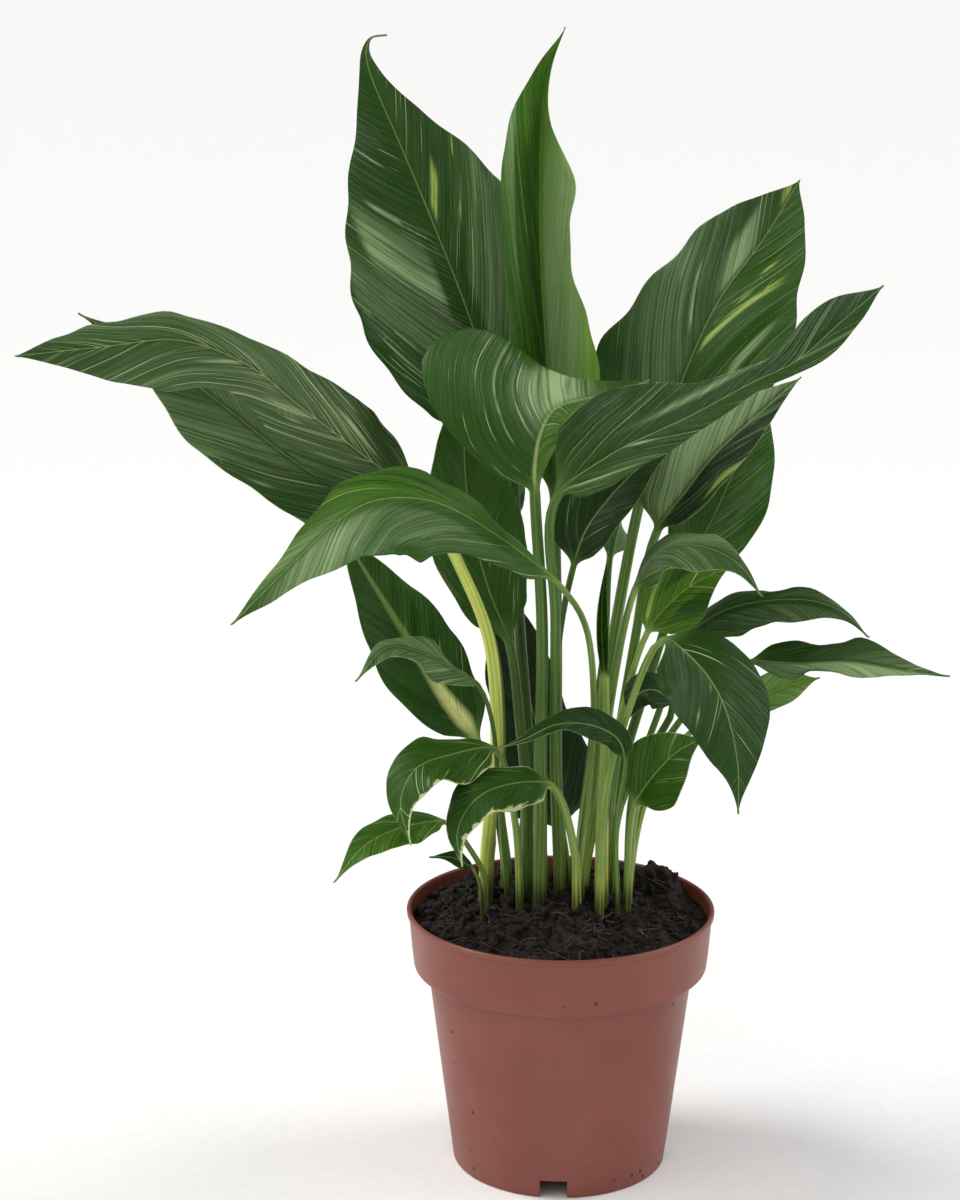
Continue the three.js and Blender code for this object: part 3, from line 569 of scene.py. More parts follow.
leaves = {
    "leaf_tall_left": dict(
        foot=(-14, 28), stem=3.4, stalk=[(-12, 32, 145), (-16, 40, 209)],
        rib=[(-20, 46, 276), (-35, 53, 326), (-50, 61, 364), (-63, 69, 394), (-74, 76, 419), (-76, 80, 428),
             (-74, 83, 433), (-68, 86, 434)],
        facing=[(3, -10, 2), (2, -10, 3), (1, -10, 3)], half=(43, 36), fold=(4, 6), curl=(10, 0), wave=(2, 3),
        point=1.1, early=0.7, slant=(0.95, 2.2), tones=(0.4, 0.44, 0.25), streaks=0.55, margin=0.15,
        marks=[(-1, 84, 4, 22, 1.6, 0.85), (-1, 62, 6, 30, 11.5, 0.9), (-1, 30, 2, 42, 14, 0.3),
               (-1, 19, 24, 34, 0.7, 0.9), (-1, 8, 25, 38, 1, 0.9), (-1, 18, 35, 44, 0.8, 0.5),
               (1, 93, 1, 9, 4.1, -1), (1, 65, 10, 14, 1.4, -0.9), (1, 71, 16, 20, 1.4, -0.7),
               (-1, 81, 7, 9, 0.7, -0.7), (1, 46, 17, 24, 1.4, -0.6), (1, 40, 4, 26, 18, 0.3),
               (1, 120, 6, 26, 30, -0.1), (1, 0, 4, 40, 26, 0.25)]),
    # painted light and shade: the right half, lit from behind, has tone 1 and a pale wash of 1 over it, and
    # the dark wash beside the rib on the left is the shade in its fold
    "leaf_tall_centre": dict(
        foot=(1, 28), stem=3.2, stalk=[(-1, 30, 146), (-1, 38, 201)],
        rib=[(-2, 42, 253), (-5, 46, 304), (-8, 48, 354), (-8, 48, 396), (-6, 49, 420), (1, 52, 438)],
        facing=[(0, -10, 1), (0, -10, 2), (-2, -10, 2)],
        outline=((0, 0.6, 0.9, 1, 1, 1, 1, 1, 0.8, 0.3, 0),
                 (0, 0.55, 1, 1, 0.83, 0.6, 0.62, 0.72, 0.2, 0.08, 0)),
        half=(25, 32), fold=(52, 38), curl=(10, 30), wave=(0.6, 2), slant=(5, 4), tones=(0.68, 1, 0.45),
        streaks=0.55, bands=0.55,
        marks=[(1, 40, 0, 30, 90, 1), (1, 72, 4, 15, 4.7, 0.9), (-1, 60, 0, 8, 60, -0.12),
               (-1, 60, 15, 26, 60, 0.8), (-1, 63, 7, 16, 2.9, 0.6)]),
    "leaf_front_fold": dict(
        foot=(-8, 3), stem=3.4, stalk=[(-8, 0, 155), (-8, -8, 221)],
        rib=[(-11, -16, 270), (-11, -18, 282), (-9, -17, 294), (-4, -11, 302), (6, -1, 304), (19, 9, 305),
             (33, 19, 308)],
        facing=[(0, -10, 1), (1, -10, 2), (0, -9, 5), (0, -4, 9), (0, -3, 10), (0, -2, 10)],
        outline=((0, 0.28, 0.54, 0.88, 1, 0.72, 0.4, 0.27, 0.2, 0.11, 0),
                 (0, 0.6, 1, 1, 0.7, 0.5, 0.45, 0.4, 0.3, 0.15, 0)),
        half=(51, 11), fold=(4, -50), slant=(0.65, 1), tones=(0.48, 0.75, 0.45), ribPale=0.3,
        ribWide=(2.0, 0.4),
        marks=[(-1, 13, 8, 43, 0.6, 0.55), (-1, 40, 0, 20, 13.6, 0.9)]),
    "leaf_right_arm": dict(
        foot=(0, 9), stem=3, stalk=[(-2, 5, 154), (-3, -11, 222)],
        rib=[(-4, -22, 269), (14, -33, 288), (44, -42, 305), (65, -44, 317), (81, -44, 325), (96, -42, 338),
             (112, -38, 351)],
        facing=[(-2, -8, 6), (-2, -8, 6), (-1, -8, 6)],
        outline=((0, 0.8, 1, 0.92, 0.66, 0.42, 0.28, 0.26, 0.44, 0.34, 0),
                 (0, 0.5, 0.62, 0.66, 0.48, 0.36, 0.26, 0.24, 0.38, 0.26, 0)),
        half=(23, 22), fold=(8, 18), wave=(0.8, 3), slant=3, tones=(0.34, 0.36, 0.45), streaks=0.6, bands=0.5,
        margin=(0.3, 0.2), ribWide=(0.4, 0.2),
        marks=[(1, 38, 0, 4, 3, 0.8), (1, 0, 0, 13, 2.4, 0.7), (-1, 40, 4, 7, 15.6, 0.5),
               (-1, 60, 4, 7, 16.8, 0.8)]),
    "leaf_right_big": dict(
        foot=(10, 33), stem=3.4, stalk=[(13, 32, 145), (21, 34, 202)],
        rib=[(33, 36, 266), (45, 45, 298), (61, 56, 332), (80, 69, 356), (95, 80, 378)],
        facing=[(-3, -10, 2), (-3, -10, 3), (-2, -10, 3)],
        outline=((0, 0.7, 0.95, 1, 0.88, 0.78, 0.66, 0.62, 0.52, 0.28, 0),
                 (0, 0.7, 0.95, 1, 1, 1, 0.9, 0.72, 0.52, 0.28, 0)),
        half=(36, 35), fold=(10, 0), curl=(8, 0), wave=(1, 3), slant=(2.2, 2.4), tones=(0.36, 0.56, 0.55),
        margin=0.15,
        marks=[(-1, 88, 0, 9, 11, 0.9), (1, 53, 1, 16, 4, -1), (1, 63, 6, 9, 3, -0.8),
               (1, 76, 7, 10, 2.5, -0.9), (-1, 50, 4, 14, 1.8, 0.9), (-1, 32, 16, 22, 1.4, 0.5),
               (1, 6, 15, 24, 6.9, 0.7), (-1, 126, 0, 4, 5.5, -0.7), (-1, 20, 0, 36, 40, 0.3)]),
    # painted shade: the right half's tone of 0.05 is the shadow that half lies in
    "leaf_right_lower": dict(
        foot=(18, 22), stem=2.8, stalk=[(21, 23, 148), (29, 21, 206)],
        rib=[(36, 15, 249), (48, 15, 267), (58, 19, 279), (80, 26, 298), (92, 32, 307)],
        facing=[(-3, -8, 5), (-3, -8, 5), (-2, -8, 5)],
        outline=((0, 0.8, 1, 0.95, 0.85, 0.7, 0.55, 0.42, 0.3, 0.15, 0),
                 (0, 0.5, 0.8, 0.95, 1, 0.92, 0.78, 0.58, 0.36, 0.16, 0)),
        half=(22, 19), fold=(14, 30), curl=(0, 10), slant=2, tones=(0.45, 0.05, 0.5), streaks=0.6, bands=0.75,
        margin=0.3, ribWide=(0.9, 0.6),
        marks=[(-1, 40, 0, 22, 40, 0.8), (-1, 10, 0, 22, 14, 0.5), (1, 13, 8, 16, 1.3, 0.7),
               (1, -4, 12, 21, 6, -0.8), (1, 12, 13, 21, 6, -0.9), (1, 30, 13, 21, 6, -0.8)]),
    "leaf_right_behind": dict(
        foot=(21, 31), stem=2.8, stalk=[(24, 32, 145), (38, 40, 192)],
        rib=[(49, 48, 225), (61, 56, 246), (72, 64, 269), (80, 74, 285), (85, 81, 296)],
        facing=[(-2, -10, 2)], half=19, fold=10, wave=(1, 2), tones=(0.6, 0.64, 0.4), streaks=0.4, bands=0.3),
    "leaf_right_droop": dict(
        foot=(10, 12), stem=2.2, stalk=[(15, 6, 145), (19, 2, 187)],
        rib=[(27, -6, 232), (36, -16, 250), (50, -27, 254), (63, -34, 249), (72, -37, 237)],
        facing=[(-3, -5, 8), (1, -5, 9), (4, -5, 8)], half=13, fold=(-14, -18), slant=2,
        tones=(0.45, 0.45, 0.62), bands=0.7, margin=0.3,
        marks=[(-1, 20, 0, 13, 24, 0.4), (1, 20, 0, 13, 24, 0.25)]),
    "leaf_right_bright": dict(
        foot=(10, 20), stem=2, stalk=[(16, 18, 141), (24, 15, 179)],
        rib=[(33, 11, 211), (41, 11, 222), (51, 13, 230), (65, 15, 236)],
        facing=[(2, -10, 3)], half=13, fold=10, wave=(0.6, 2), tones=(0.78, 0.8, 0.8), bands=0.25, margin=0.3,
        marks=[(-1, 18, 4, 13, 12, -0.3), (1, 12, 3, 12, 10, -0.25), (-1, 0, 2, 11, 1.8, -0.9)]),
    "leaf_right_arc": dict(
        foot=(27, 15), stem=2, stalk=[(29, 20, 145), (39, 22, 177)],
        rib=[(48, 22, 205), (62, 18, 218), (80, 12, 224), (97, 6, 225), (108, 2, 221), (117, 0, 212)],
        facing=[(-2, -4, 9), (0, -4, 9), (3, -4, 9)], half=13, fold=(-10, -16), curl=-10, slant=2,
        tones=(0.42, 0.36, 0.55), streaks=0.45, bands=0.5,
        marks=[(1, 30, 2, 13, 40, 0.2), (-1, 78, 1, 13, 24, 0.5)]),
    "leaf_right_flat": dict(
        foot=(27, 6), stem=2, stalk=[(31, 4, 150), (49, 4, 182)],
        rib=[(70, 2, 201), (90, -3, 203), (108, -12, 206), (126, -20, 205), (143, -30, 205)],
        facing=[(0, -3, 9), (0, -3, 9), (2, -3, 9)], half=12, fold=(14, 4), wave=(2, 2), slant=2.2,
        tones=(0.38, 0.38, 0.55), streaks=0.45, bands=0.6,
        marks=[(1, 40, 0, 12, 40, 0.9), (-1, 70, 0, 12, 30, 0.4)]),
    "leaf_front_drop": dict(
        foot=(15, -6), stem=2.2, stalk=[(17, -8, 150), (25, -12, 187)],
        rib=[(37, -16, 215), (49, -29, 210), (58, -40, 198), (63, -50, 178), (63, -57, 160)],
        facing=[(1, -8, 6), (3, -10, 4), (4, -10, 0)], half=19, fold=-6, wave=(1.2, 2),
        tones=(0.38, 0.36, 0.66), streaks=0.45,
        marks=[(1, 21, 9, 13, 1.1, 0.6), (1, 28, 0, 3, 0.9, 0.5)]),
    "leaf_right_pale": dict(
        foot=(29, 24), stem=1.8, stalk=[(36, 26, 143), (51, 26, 166)],
        rib=[(73, 26, 178), (85, 26, 184), (94, 26, 187), (102, 26, 189)],
        facing=[(-1, -8, 6), (0, -8, 6), (0, -8, 6)], half=8, fold=0, wave=(0.5, 2), tones=(0.88, 0.88, 0.7),
        bands=0.25, margin=0.3,
        marks=[(1, 20, 0, 8, 40, 0.4), (-1, 20, 0, 8, 40, 0.3)]),
    "leaf_low_right": dict(
        foot=(26, -1), stem=2, stalk=[(26, -3, 128)],
        rib=[(28, -4, 146), (34, -10, 159), (43, -18, 172), (53, -25, 180)],
        facing=[(-4, -9, 3), (-4, -9, 3), (-3, -9, 3)], half=14, fold=4, tones=(0.66, 0.58, 0.6),
        streaks=0.45, bands=0.3, margin=0.4,
        marks=[(1, 28, 1, 5, 1.1, 0.6)]),
    "leaf_mid_right": dict(
        foot=(20, 11), stem=2.4, stalk=[(24, 9, 144), (37, 9, 168)],
        rib=[(43, 7, 183), (36, 5, 190), (30, 4, 189), (25, 2, 178)],
        facing=[(3, -8, 6), (0, -8, 6), (-4, -8, 3)], half=8, fold=-4, wave=(0.6, 2), tones=(0.25, 0.25, 0.5),
        streaks=0.4, bands=0.3, margin=0.3),
    "leaf_left_big": dict(
        foot=(-29, 13), stem=3.4, stalk=[(-27, 8, 144), (-25, 4, 170), (-28, -4, 212), (-38, -10, 240)],
        rib=[(-52, -16, 267), (-75, -24, 288), (-97, -31, 307), (-115, -38, 323), (-138, -47, 333),
             (-163, -56, 332), (-193, -66, 330)],
        facing=[(-2, -8, 6), (-2, -8, 6), (-1, -8, 6)],
        outline=((0, 0.45, 0.64, 0.64, 0.56, 0.47, 0.62, 0.8, 0.6, 0.27, 0),
                 (0, 0.75, 0.9, 0.86, 0.72, 0.6, 0.66, 0.86, 0.78, 0.46, 0)),
        half=(25, 24), fold=(-8, -26), curl=(0, -10), wave=(1.2, 3), slant=(2.6, 2.2), tones=(0.36, 0.34, 1),
        streaks=0.7, bands=0.5, lowTone=0.78,
        marks=[(-1, 55, 0, 6, 5.3, 0.8), (1, 18, 3, 11, 3.7, 0.9), (-1, 88, 0, 6, 2.6, 0.7),
               (-1, 45, 4, 7, 2.1, 0.8), (1, 3, 14, 20, 1.8, 0.6), (-1, 60, 0, 26, 60, 0.2),
               (1, 60, 0, 26, 60, 0.2)]),
    "leaf_left_under": dict(
        foot=(-21, 22), stem=2.6, stalk=[(-24, 27, 138), (-23, 30, 162), (-26, 28, 200), (-35, 22, 225),
        (-48, 12, 243)],
        rib=[(-60, 4, 254), (-80, -6, 268), (-104, -10, 285), (-126, -14, 304), (-150, -18, 323),
             (-177, -22, 339)],
        facing=[(-2, -8, 6), (-2, -8, 6), (-1, -8, 6)],
        outline=((0, 0.6, 0.78, 0.8, 0.83, 0.86, 0.82, 0.61, 0.37, 0.14, 0),
                 (0, 0.6, 0.83, 0.96, 1, 0.95, 0.82, 0.61, 0.37, 0.14, 0)),
        half=22, fold=(-6, -4), wave=(1.4, 3), slant=2.2, tones=(0.44, 0.44, 0.55), streaks=0.55, bands=0.55,
        margin=0.3,
        marks=[(-1, 60, 0, 22, 30, 0.4), (-1, 21, 12, 16, 1.8, 0.8), (-1, 34, 15, 19, 1.8, 0.8),
               (1, 60, 0, 22, 60, 0.4)]),
    "leaf_left_mid": dict(
        foot=(8, 3), stem=1.9, stalk=[(11, 2, 146), (12, -6, 189), (8, -16, 221)],
        rib=[(-1, -24, 237), (-24, -39, 260), (-49, -51, 276), (-69, -61, 278), (-82, -69, 272),
             (-94, -78, 262), (-118, -87, 239)],
        facing=[(0, -5, 9), (-2, -6, 8), (-4, -8, 6)],
        outline=((0, 0.3, 0.45, 0.55, 0.8, 1, 0.95, 0.66, 0.36, 0.18, 0),
                 (0, 0.35, 0.55, 0.75, 0.95, 1, 0.88, 0.6, 0.36, 0.2, 0)),
        half=(25, 19), fold=(-16, -12), curl=(-10, 0), wave=(1.2, 2), slant=2.2, tones=(0.56, 0.68, 0.6),
        streaks=0.45, bands=0.4,
        marks=[(-1, 80, 10, 13, 2.8, 0.6), (-1, 96, 2, 18, 12, 0.5), (-1, 60, 4, 20, 44, 0.24),
               (-1, 120, 0, 12, 18, 0.55), (1, 120, 0, 12, 18, 0.45)]),
    "leaf_left_hang": dict(
        foot=(-28, 26), stem=2.8, stalk=[(-27, 24, 123)],
        rib=[(-32, 24, 162), (-47, 28, 183), (-62, 34, 206), (-76, 42, 227), (-89, 49, 247)],
        facing=[(3, -10, 3)], half=17, fold=(6, 10), wave=(1.2, 2), tones=(0.45, 0.45, 0.75), streaks=0.4,
        bands=0.35, ribPale=0.9, ribWide=(7, 0.3)),
    "leaf_left_curl": dict(
        foot=(-21, 7), stem=1.4, stalk=[(-24, 2, 146), (-27, -8, 182)],
        rib=[(-32, -14, 197), (-41, -23, 206), (-54, -31, 215), (-66, -38, 218), (-77, -45, 207)],
        facing=[(-1, -5, 8), (-1, -5, 8), (-3, -6, 6)], half=9, fold=-10, tones=(0.42, 0.42, 0.4),
        streaks=0.65, bands=0.7, margin=0.3,
        marks=[(1, 30, 0, 9, 40, 0.5), (-1, 30, 0, 9, 40, 0.35)]),
    "leaf_centre_hang": dict(
        foot=(-13, 11), stem=3, stalk=[(-13, 12, 143), (-16, 10, 176)],
        rib=[(-20, 8, 207), (-28, 8, 229), (-34, 8, 252), (-37, 9, 275), (-37, 12, 300), (-35, 16, 322)],
        facing=[(3, -10, 2), (3, -10, 2), (2, -10, 2)], half=(18, 19), fold=(10, 14), wave=(1, 2), slant=2.2,
        tones=(0.58, 0.54, 0.35), bands=0.55, margin=0.3,
        marks=[(1, 26, 2, 5, 1.8, 0.7), (1, -2, 5, 10, 1.4, 0.6)]),
    # painted shade: tones of 0.08 make this leaf near black, filling the shade behind the stems
    "leaf_shade": dict(
        foot=(2, 44), stem=2.4,
        rib=[(2, 47, 117), (-1, 54, 127), (-5, 60, 143), (-10, 64, 165), (-16, 67, 187), (-19, 69, 212)],
        facing=[(0, -10, 1)],
        outline=((0, 0.7, 1, 1, 0.92, 0.8, 0.75, 0.7, 0.55, 0.3, 0),
                 (0, 0.7, 1, 0.96, 0.8, 0.66, 0.62, 0.6, 0.5, 0.3, 0)),
        half=21, fold=6, tones=(0.08, 0.08, 0.15), streaks=0.3, bands=0.3),
    "leaf_low_left": dict(
        foot=(-16, 0), stem=2, stalk=[(-18, -2, 140)],
        rib=[(-25, -7, 169), (-43, -21, 172), (-56, -34, 170), (-61, -43, 160), (-57, -51, 146)],
        facing=[(-2, -6, 8), (-3, -6, 7), (-6, -8, 2)], half=(15, 13), fold=-8, tones=(0.54, 0.52, 0.6),
        bands=0.35, margin=(2, 0.3),
        marks=[(-1, 31, 6, 10, 1.1, 0.5)]),
    "leaf_low_left_tip": dict(
        foot=(-29, 4), stem=1.6, stalk=[(-35, -1, 127)],
        rib=[(-44, -4, 139), (-60, -16, 142), (-75, -30, 139), (-86, -44, 129)],
        facing=[(-2, -6, 8), (-2, -6, 8), (-4, -6, 6)], half=9, fold=-6, tones=(0.72, 0.66, 0.55),
        streaks=0.6, bands=0.4, margin=0.3),
    "leaf_low_front": dict(
        foot=(6, -6), stem=2.4, stalk=[(5, -8, 129)],
        rib=[(-4, -14, 157), (-22, -27, 162), (-34, -38, 159), (-40, -45, 149), (-38, -52, 138)],
        facing=[(-2, -6, 8), (-3, -6, 7), (-6, -8, 2)], half=13, fold=-8, tones=(0.48, 0.46, 0.65),
        streaks=0.45, bands=0.35, margin=(3, 0.5)),
    "leaf_cross": dict(
        foot=(22, -5), stem=1.4, stalk=[(21, -8, 129), (22, -12, 151)],
        rib=[(24, -15, 166), (20, -19, 178), (10, -22, 184), (-3, -25, 185), (-15, -28, 180),
             (-25, -30, 177)],
        facing=[(-4, -8, 4), (-2, -6, 8), (-2, -6, 8)], half=6, fold=8, wave=(0.6, 2), tones=(0.3, 0.3, 0.45),
        streaks=0.4, bands=0.4, margin=0.3),
    "leaf_rolled": dict(
        foot=(16, 2), stem=3.4, stalk=[(16, 1, 147)],
        rib=[(16, -2, 196), (15, -2, 212), (15, -2, 227), (17, -2, 246)],
        facing=[(0, -10, 1)], half=8, fold=45, curl=60, wave=(0.4, 2), tones=(0.66, 0.66, 0.75), streaks=0.4,
        bands=0.3, margin=0.3),
    "leaf_sprout": dict(
        foot=(-31, -5), stem=1.2,
        rib=[(-34, -6, 121), (-40, -8, 126), (-45, -8, 127), (-51, -9, 127)],
        facing=[(-2, -4, 8)], half=3, fold=6, wave=(0.3, 2), tones=(0.3, 0.3, 0.4), streaks=0.2, bands=0.2),
    "leaf_back_left": dict(
        foot=(-6, 36), stem=2.2, stalk=[(-11, 42, 150), (-15, 52, 197)],
        rib=[(-23, 62, 228), (-27, 76, 250), (-29, 94, 267), (-27, 112, 278)],
        facing=[(0, 6, 8), (0, 5, 9), (0, 3, 10)], half=17, fold=-4, wave=(1, 2), tones=(0.42, 0.42, 0.4),
        bands=0.5),
    "leaf_back_right": dict(
        foot=(9, 42), stem=2.2, stalk=[(13, 50, 148), (19, 58, 196)],
        rib=[(21, 68, 227), (26, 80, 249), (31, 98, 266), (34, 118, 275)],
        facing=[(0, 6, 8), (0, 5, 9), (0, 3, 10)], half=17, fold=-4, wave=(1, 2), tones=(0.48, 0.48, 0.4),
        bands=0.5),
    "leaf_under_arm": dict(
        foot=(3, 19), stem=2, stalk=[(-2, 16, 150), (-1, 10, 208)],
        rib=[(4, 2, 239), (8, 0, 253), (16, 0, 265), (29, 2, 278), (45, 6, 287)],
        facing=[(-3, -8, 4), (-3, -8, 4), (-2, -8, 4)], half=(17, 11), fold=6, tones=(0.22, 0.22, 0.4),
        margin=0.3),
}

waxySkin = waxyLeaf(leafFinish)
for number, (name, leaf) in enumerate(leaves.items()):
    makeLeaf(name, {**usualLeaf, **leaf}, leafBuild, waxySkin, 3.7 * number)
print("leaves made:", len(leaves))


potShape = {  # mm
    "rim": 60, "height": 104,
    "collarRadius": 57.3, "collarHeight": 82,
    "neckRadius": 51.6, "neckHeight": 78,
    "base": 42, "wall": 1.3,
    "floor": 5.5, "disc": 13,  # underside of the raised floor, and the dimple it stands on
    "notchWidth": 10.5, "notchHeight": 7.5, "notchTurn": -4.4,  # the turn is in degrees
    "notchDepth": 8, "drain": 3.2, "drainDepth": 6, "drainCircle": 27,
    "sides": 192, "drainSides": 40,
    "sharpFrom": 42,  # degrees, an edge that turns by more stays sharp
}

potFinish = {
    "colour": "#7d4032",
    "worn": "#8f5041",
    "dirt": "#2a1a14",
    "dirtyFoot": 12,  # mm, more specks up to here
    "roughness": 0.42,
    "ior": 1.49,
    "grain": 0.25,  # mm, moulding grain
    "relief": 0.12,  # mm
}


def mouldedPot(finish):
    # Injection-moulded polypropylene, IOR 1.49, satin: a fine moulding grain, faint flow marks round the
    # wall every 70 mm, rubbed paler in patches of 38 mm, and specks of peat up to 2 mm that stick to it, most
    # of them near its foot.
    material, add = newMaterial("moulded polypropylene")
    place = add("TexCoord").outputs["Object"]
    rubbed = add("TexNoise", {"Vector": place, "Scale": 26.0, "Detail": 6.0, "Roughness": 0.62})
    rubbed = add("MapRange", rubbed, 0.46, 0.74, 0.0, 0.55)
    colour = add("Mix", rubbed, {6: hexColour(finish["colour"]), 7: hexColour(finish["worn"])},
                 data_type="RGBA")
    specks = add("TexVoronoi", {"Vector": place, "Scale": 260.0, "Randomness": 1.0})
    chance = add("SeparateColor", specks.outputs["Color"])
    above = add("SeparateXYZ", place).outputs["Z"]
    foot = add("MapRange", above, 0.0, finish["dirtyFoot"] * mm, 0.45, 0.03)
    kept = add("Math", chance, foot, operation="LESS_THAN")
    size = add("TexNoise", {"Vector": place, "Scale": 700.0, "Detail": 2.0})
    size = add("Math", size, 0.42, operation="MULTIPLY")
    near = add("Math", specks, size, operation="LESS_THAN")
    dirty = add("Math", kept, near, operation="MULTIPLY")
    dirty = add("Math", dirty, 0.8, operation="MULTIPLY")
    colour = add("Mix", dirty, {6: colour, 7: hexColour(finish["dirt"])}, data_type="RGBA")
    smear = add("TexNoise", {"Vector": place, "Scale": 60.0, "Detail": 5.0})
    rough = add("MapRange", smear, 0.0, 1.0, finish["roughness"] - 0.08, finish["roughness"] + 0.14)
    rough = add("Math", dirty, 0.4, rough, operation="MULTIPLY_ADD")
    grain = add("TexNoise", {"Vector": place, "Scale": 1 / (finish["grain"] * 4 * mm), "Detail": 2.0})
    flow = add("TexNoise", {"Vector": place, "Scale": 14.0, "Detail": 2.0})
    relief = add("Math", flow, 6.0, grain, operation="MULTIPLY_ADD")
    relief = add("Math", dirty, 3.0, relief, operation="MULTIPLY_ADD")
    bump = add("Bump", {"Height": relief, "Strength": 0.35, "Distance": finish["relief"] * mm})
    add("OutputMaterial", {"Surface": add("BsdfPrincipled", {
        "Base Color": colour, "Roughness": rough, "Normal": bump, "IOR": finish["ior"]})})
    return material


def arcPoints(x, z, radius, start, end, count):
    # points on an arc of the profile, angles in degrees from +radius
    turns = np.radians(np.linspace(start, end, count))
    return [(x + radius * math.cos(t), z + radius * math.sin(t)) for t in turns]


def potProfile(shape):
    # outside upwards, round the lip, and back down inside, as (radius, height)
    rim, top, collar, collarLow, neck, neckTop, base, wall, floor, disc = [shape[key] for key in (
        "rim", "height", "collarRadius", "collarHeight", "neckRadius", "neckHeight", "base", "wall", "floor",
        "disc")]
    return [
        (0, 0), (disc - 0.5, 0), (disc, 0.3), (disc + 1.6, floor - 0.4), (disc + 2.2, floor),
        (base - 4, floor), (base - 3.4, floor - 0.5), (base - 2.3, 0.4), (base - 1.9, 0), (base - 0.8, 0),
        *arcPoints(base - 0.8, 0.8, 0.8, -60, 0, 4),
        *[(base + (neck - base) * t, 0.8 + (neckTop - 0.8) * t) for t in (0.1, 0.25, 0.5, 0.75, 0.97)],
        *arcPoints(neck + 1.6, neckTop + 0.5, 1.6, 180, 125, 5),
        *arcPoints(collar - 1.6, collarLow - 0.2, 1.6, -50, 0, 6),
        (collar + 0.7, collarLow + 6), (rim - 1.2, top - 6), (rim - 0.7, top - 2.6), (rim - 0.15, top - 2.2),
        *arcPoints(rim - 0.9, top - 0.9, 0.9, 0, 180, 9),
        (rim - wall - 0.6, top - 3), (collar - wall + 0.7, collarLow + 7), (collar - wall, collarLow + 1),
        (neck - wall, neckTop + 1.2), (base - wall - 0.2, floor + wall + 1),
        (base - wall - 1.2, floor + wall), (disc + 1, floor + wall), (disc - 1, wall), (0, wall),
    ]


def turnedSolid(name, profile, sides, material):
    # a closed body of revolution from a profile that starts and ends on the axis
    ring = profile[1:-1]
    turns = np.arange(sides) * 2 * math.pi / sides
    points = [(r * math.cos(t) * mm, r * math.sin(t) * mm, z * mm) for r, z in ring for t in turns]
    faces = ringFaces(len(ring), sides)
    low, high = len(points), len(points) + 1
    points += [(0, 0, profile[0][1] * mm), (0, 0, profile[-1][1] * mm)]
    top = (len(ring) - 1) * sides
    for i in range(sides):
        following = (i + 1) % sides
        faces += [(low, following, i), (high, top + i, top + following)]
    return newPiece(name, points, faces, material)


def turned(points, turn):
    # points turned about the pot's axis
    cos, sin = math.cos(turn), math.sin(turn)
    return [(x * cos - y * sin, x * sin + y * cos, z) for x, y, z in points]


def cutterBlock(centre, size, turn):
    spots = [[c + s * d / 2 for c, s, d in zip(centre, (x, y, z), size)]
             for x in (-1, 1) for y in (-1, 1) for z in (-1, 1)]
    faces = [(0, 1, 3, 2), (4, 6, 7, 5), (0, 4, 5, 1), (2, 3, 7, 6), (0, 2, 6, 4), (1, 5, 7, 3)]
    return turned(spots, turn), faces


def cutterRod(centre, radius, height, turn, sides):
    (x, y, z), = turned([centre], turn)
    angles = [i * 2 * math.pi / sides for i in range(sides)]
    spots = [(x + radius * math.cos(t), y + radius * math.sin(t), z + end)
             for end in (-height / 2, height / 2) for t in angles]
    faces = [(i, (i + 1) % sides, (i + 1) % sides + sides, i + sides) for i in range(sides)]
    return spots, faces + [tuple(reversed(range(sides))), tuple(range(sides, 2 * sides))]


def makePot(shape, material):
    pot = turnedSolid("nursery_pot", potProfile(shape), shape["sides"], material)
    spots, faces = [], []
    for i in range(4):
        turn = math.radians(shape["notchTurn"]) + i * math.pi / 2
        size = (shape["notchWidth"], shape["notchDepth"], 2 * shape["notchHeight"])
        drain = (0, -shape["drainCircle"], shape["floor"])
        for points, rings in (cutterBlock((0, 1 - shape["base"], 0), size, turn),
                              cutterRod(drain, shape["drain"], shape["drainDepth"], turn + math.pi / 4,
                                        shape["drainSides"])):
            faces += [tuple(v + len(spots) for v in face) for face in rings]
            spots += points
    cutter = newPiece("notches_and_drains", [[mm * p for p in spot] for spot in spots], faces, material)
    cut = pot.modifiers.new("cut", "BOOLEAN")
    cut.operation, cut.solver, cut.object = "DIFFERENCE", "EXACT", cutter
    finished = finishedMesh(pot)
    bpy.data.objects.remove(cutter)
    finished.shade_smooth()
    finished.set_sharp_from_angle(angle=math.radians(shape["sharpFrom"]))
    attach(pot, "root")
    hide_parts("pot")
    return pot


makePot(potShape, mouldedPot(potFinish))
print("pot made")


soilShape = {  # mm
    "bottom": 7.2, "edge": 98, "heap": 8, "heapRadius": 30,
    "crown": (-1, 13),  # middle of the clump of stems
    "mound": (38, 33, 11, 140),  # a lump at the back right: x, y, height, breadth
    "clods": ((4.2, 9), (3.0, 4.3), (1.5, 2.1)),  # height and size, from large to small
    "gap": 0.45,  # between the peat and the pot's wall
    "calmEdge": 6,  # the clods are lower this near the pot
    "loose": (90, 0.25),  # crumbs and fibres lie above this height, where a face looks up by this share
    "rings": 84, "sides": 240,
}

soilFinish = {
    "peat": "#0b0808",
    "brown": "#271a14",
    "fibre": "#3b2a22",
    "paleFibre": "#6e5646",
    "ior": 1.4,
    "relief": 0.9,  # mm
}


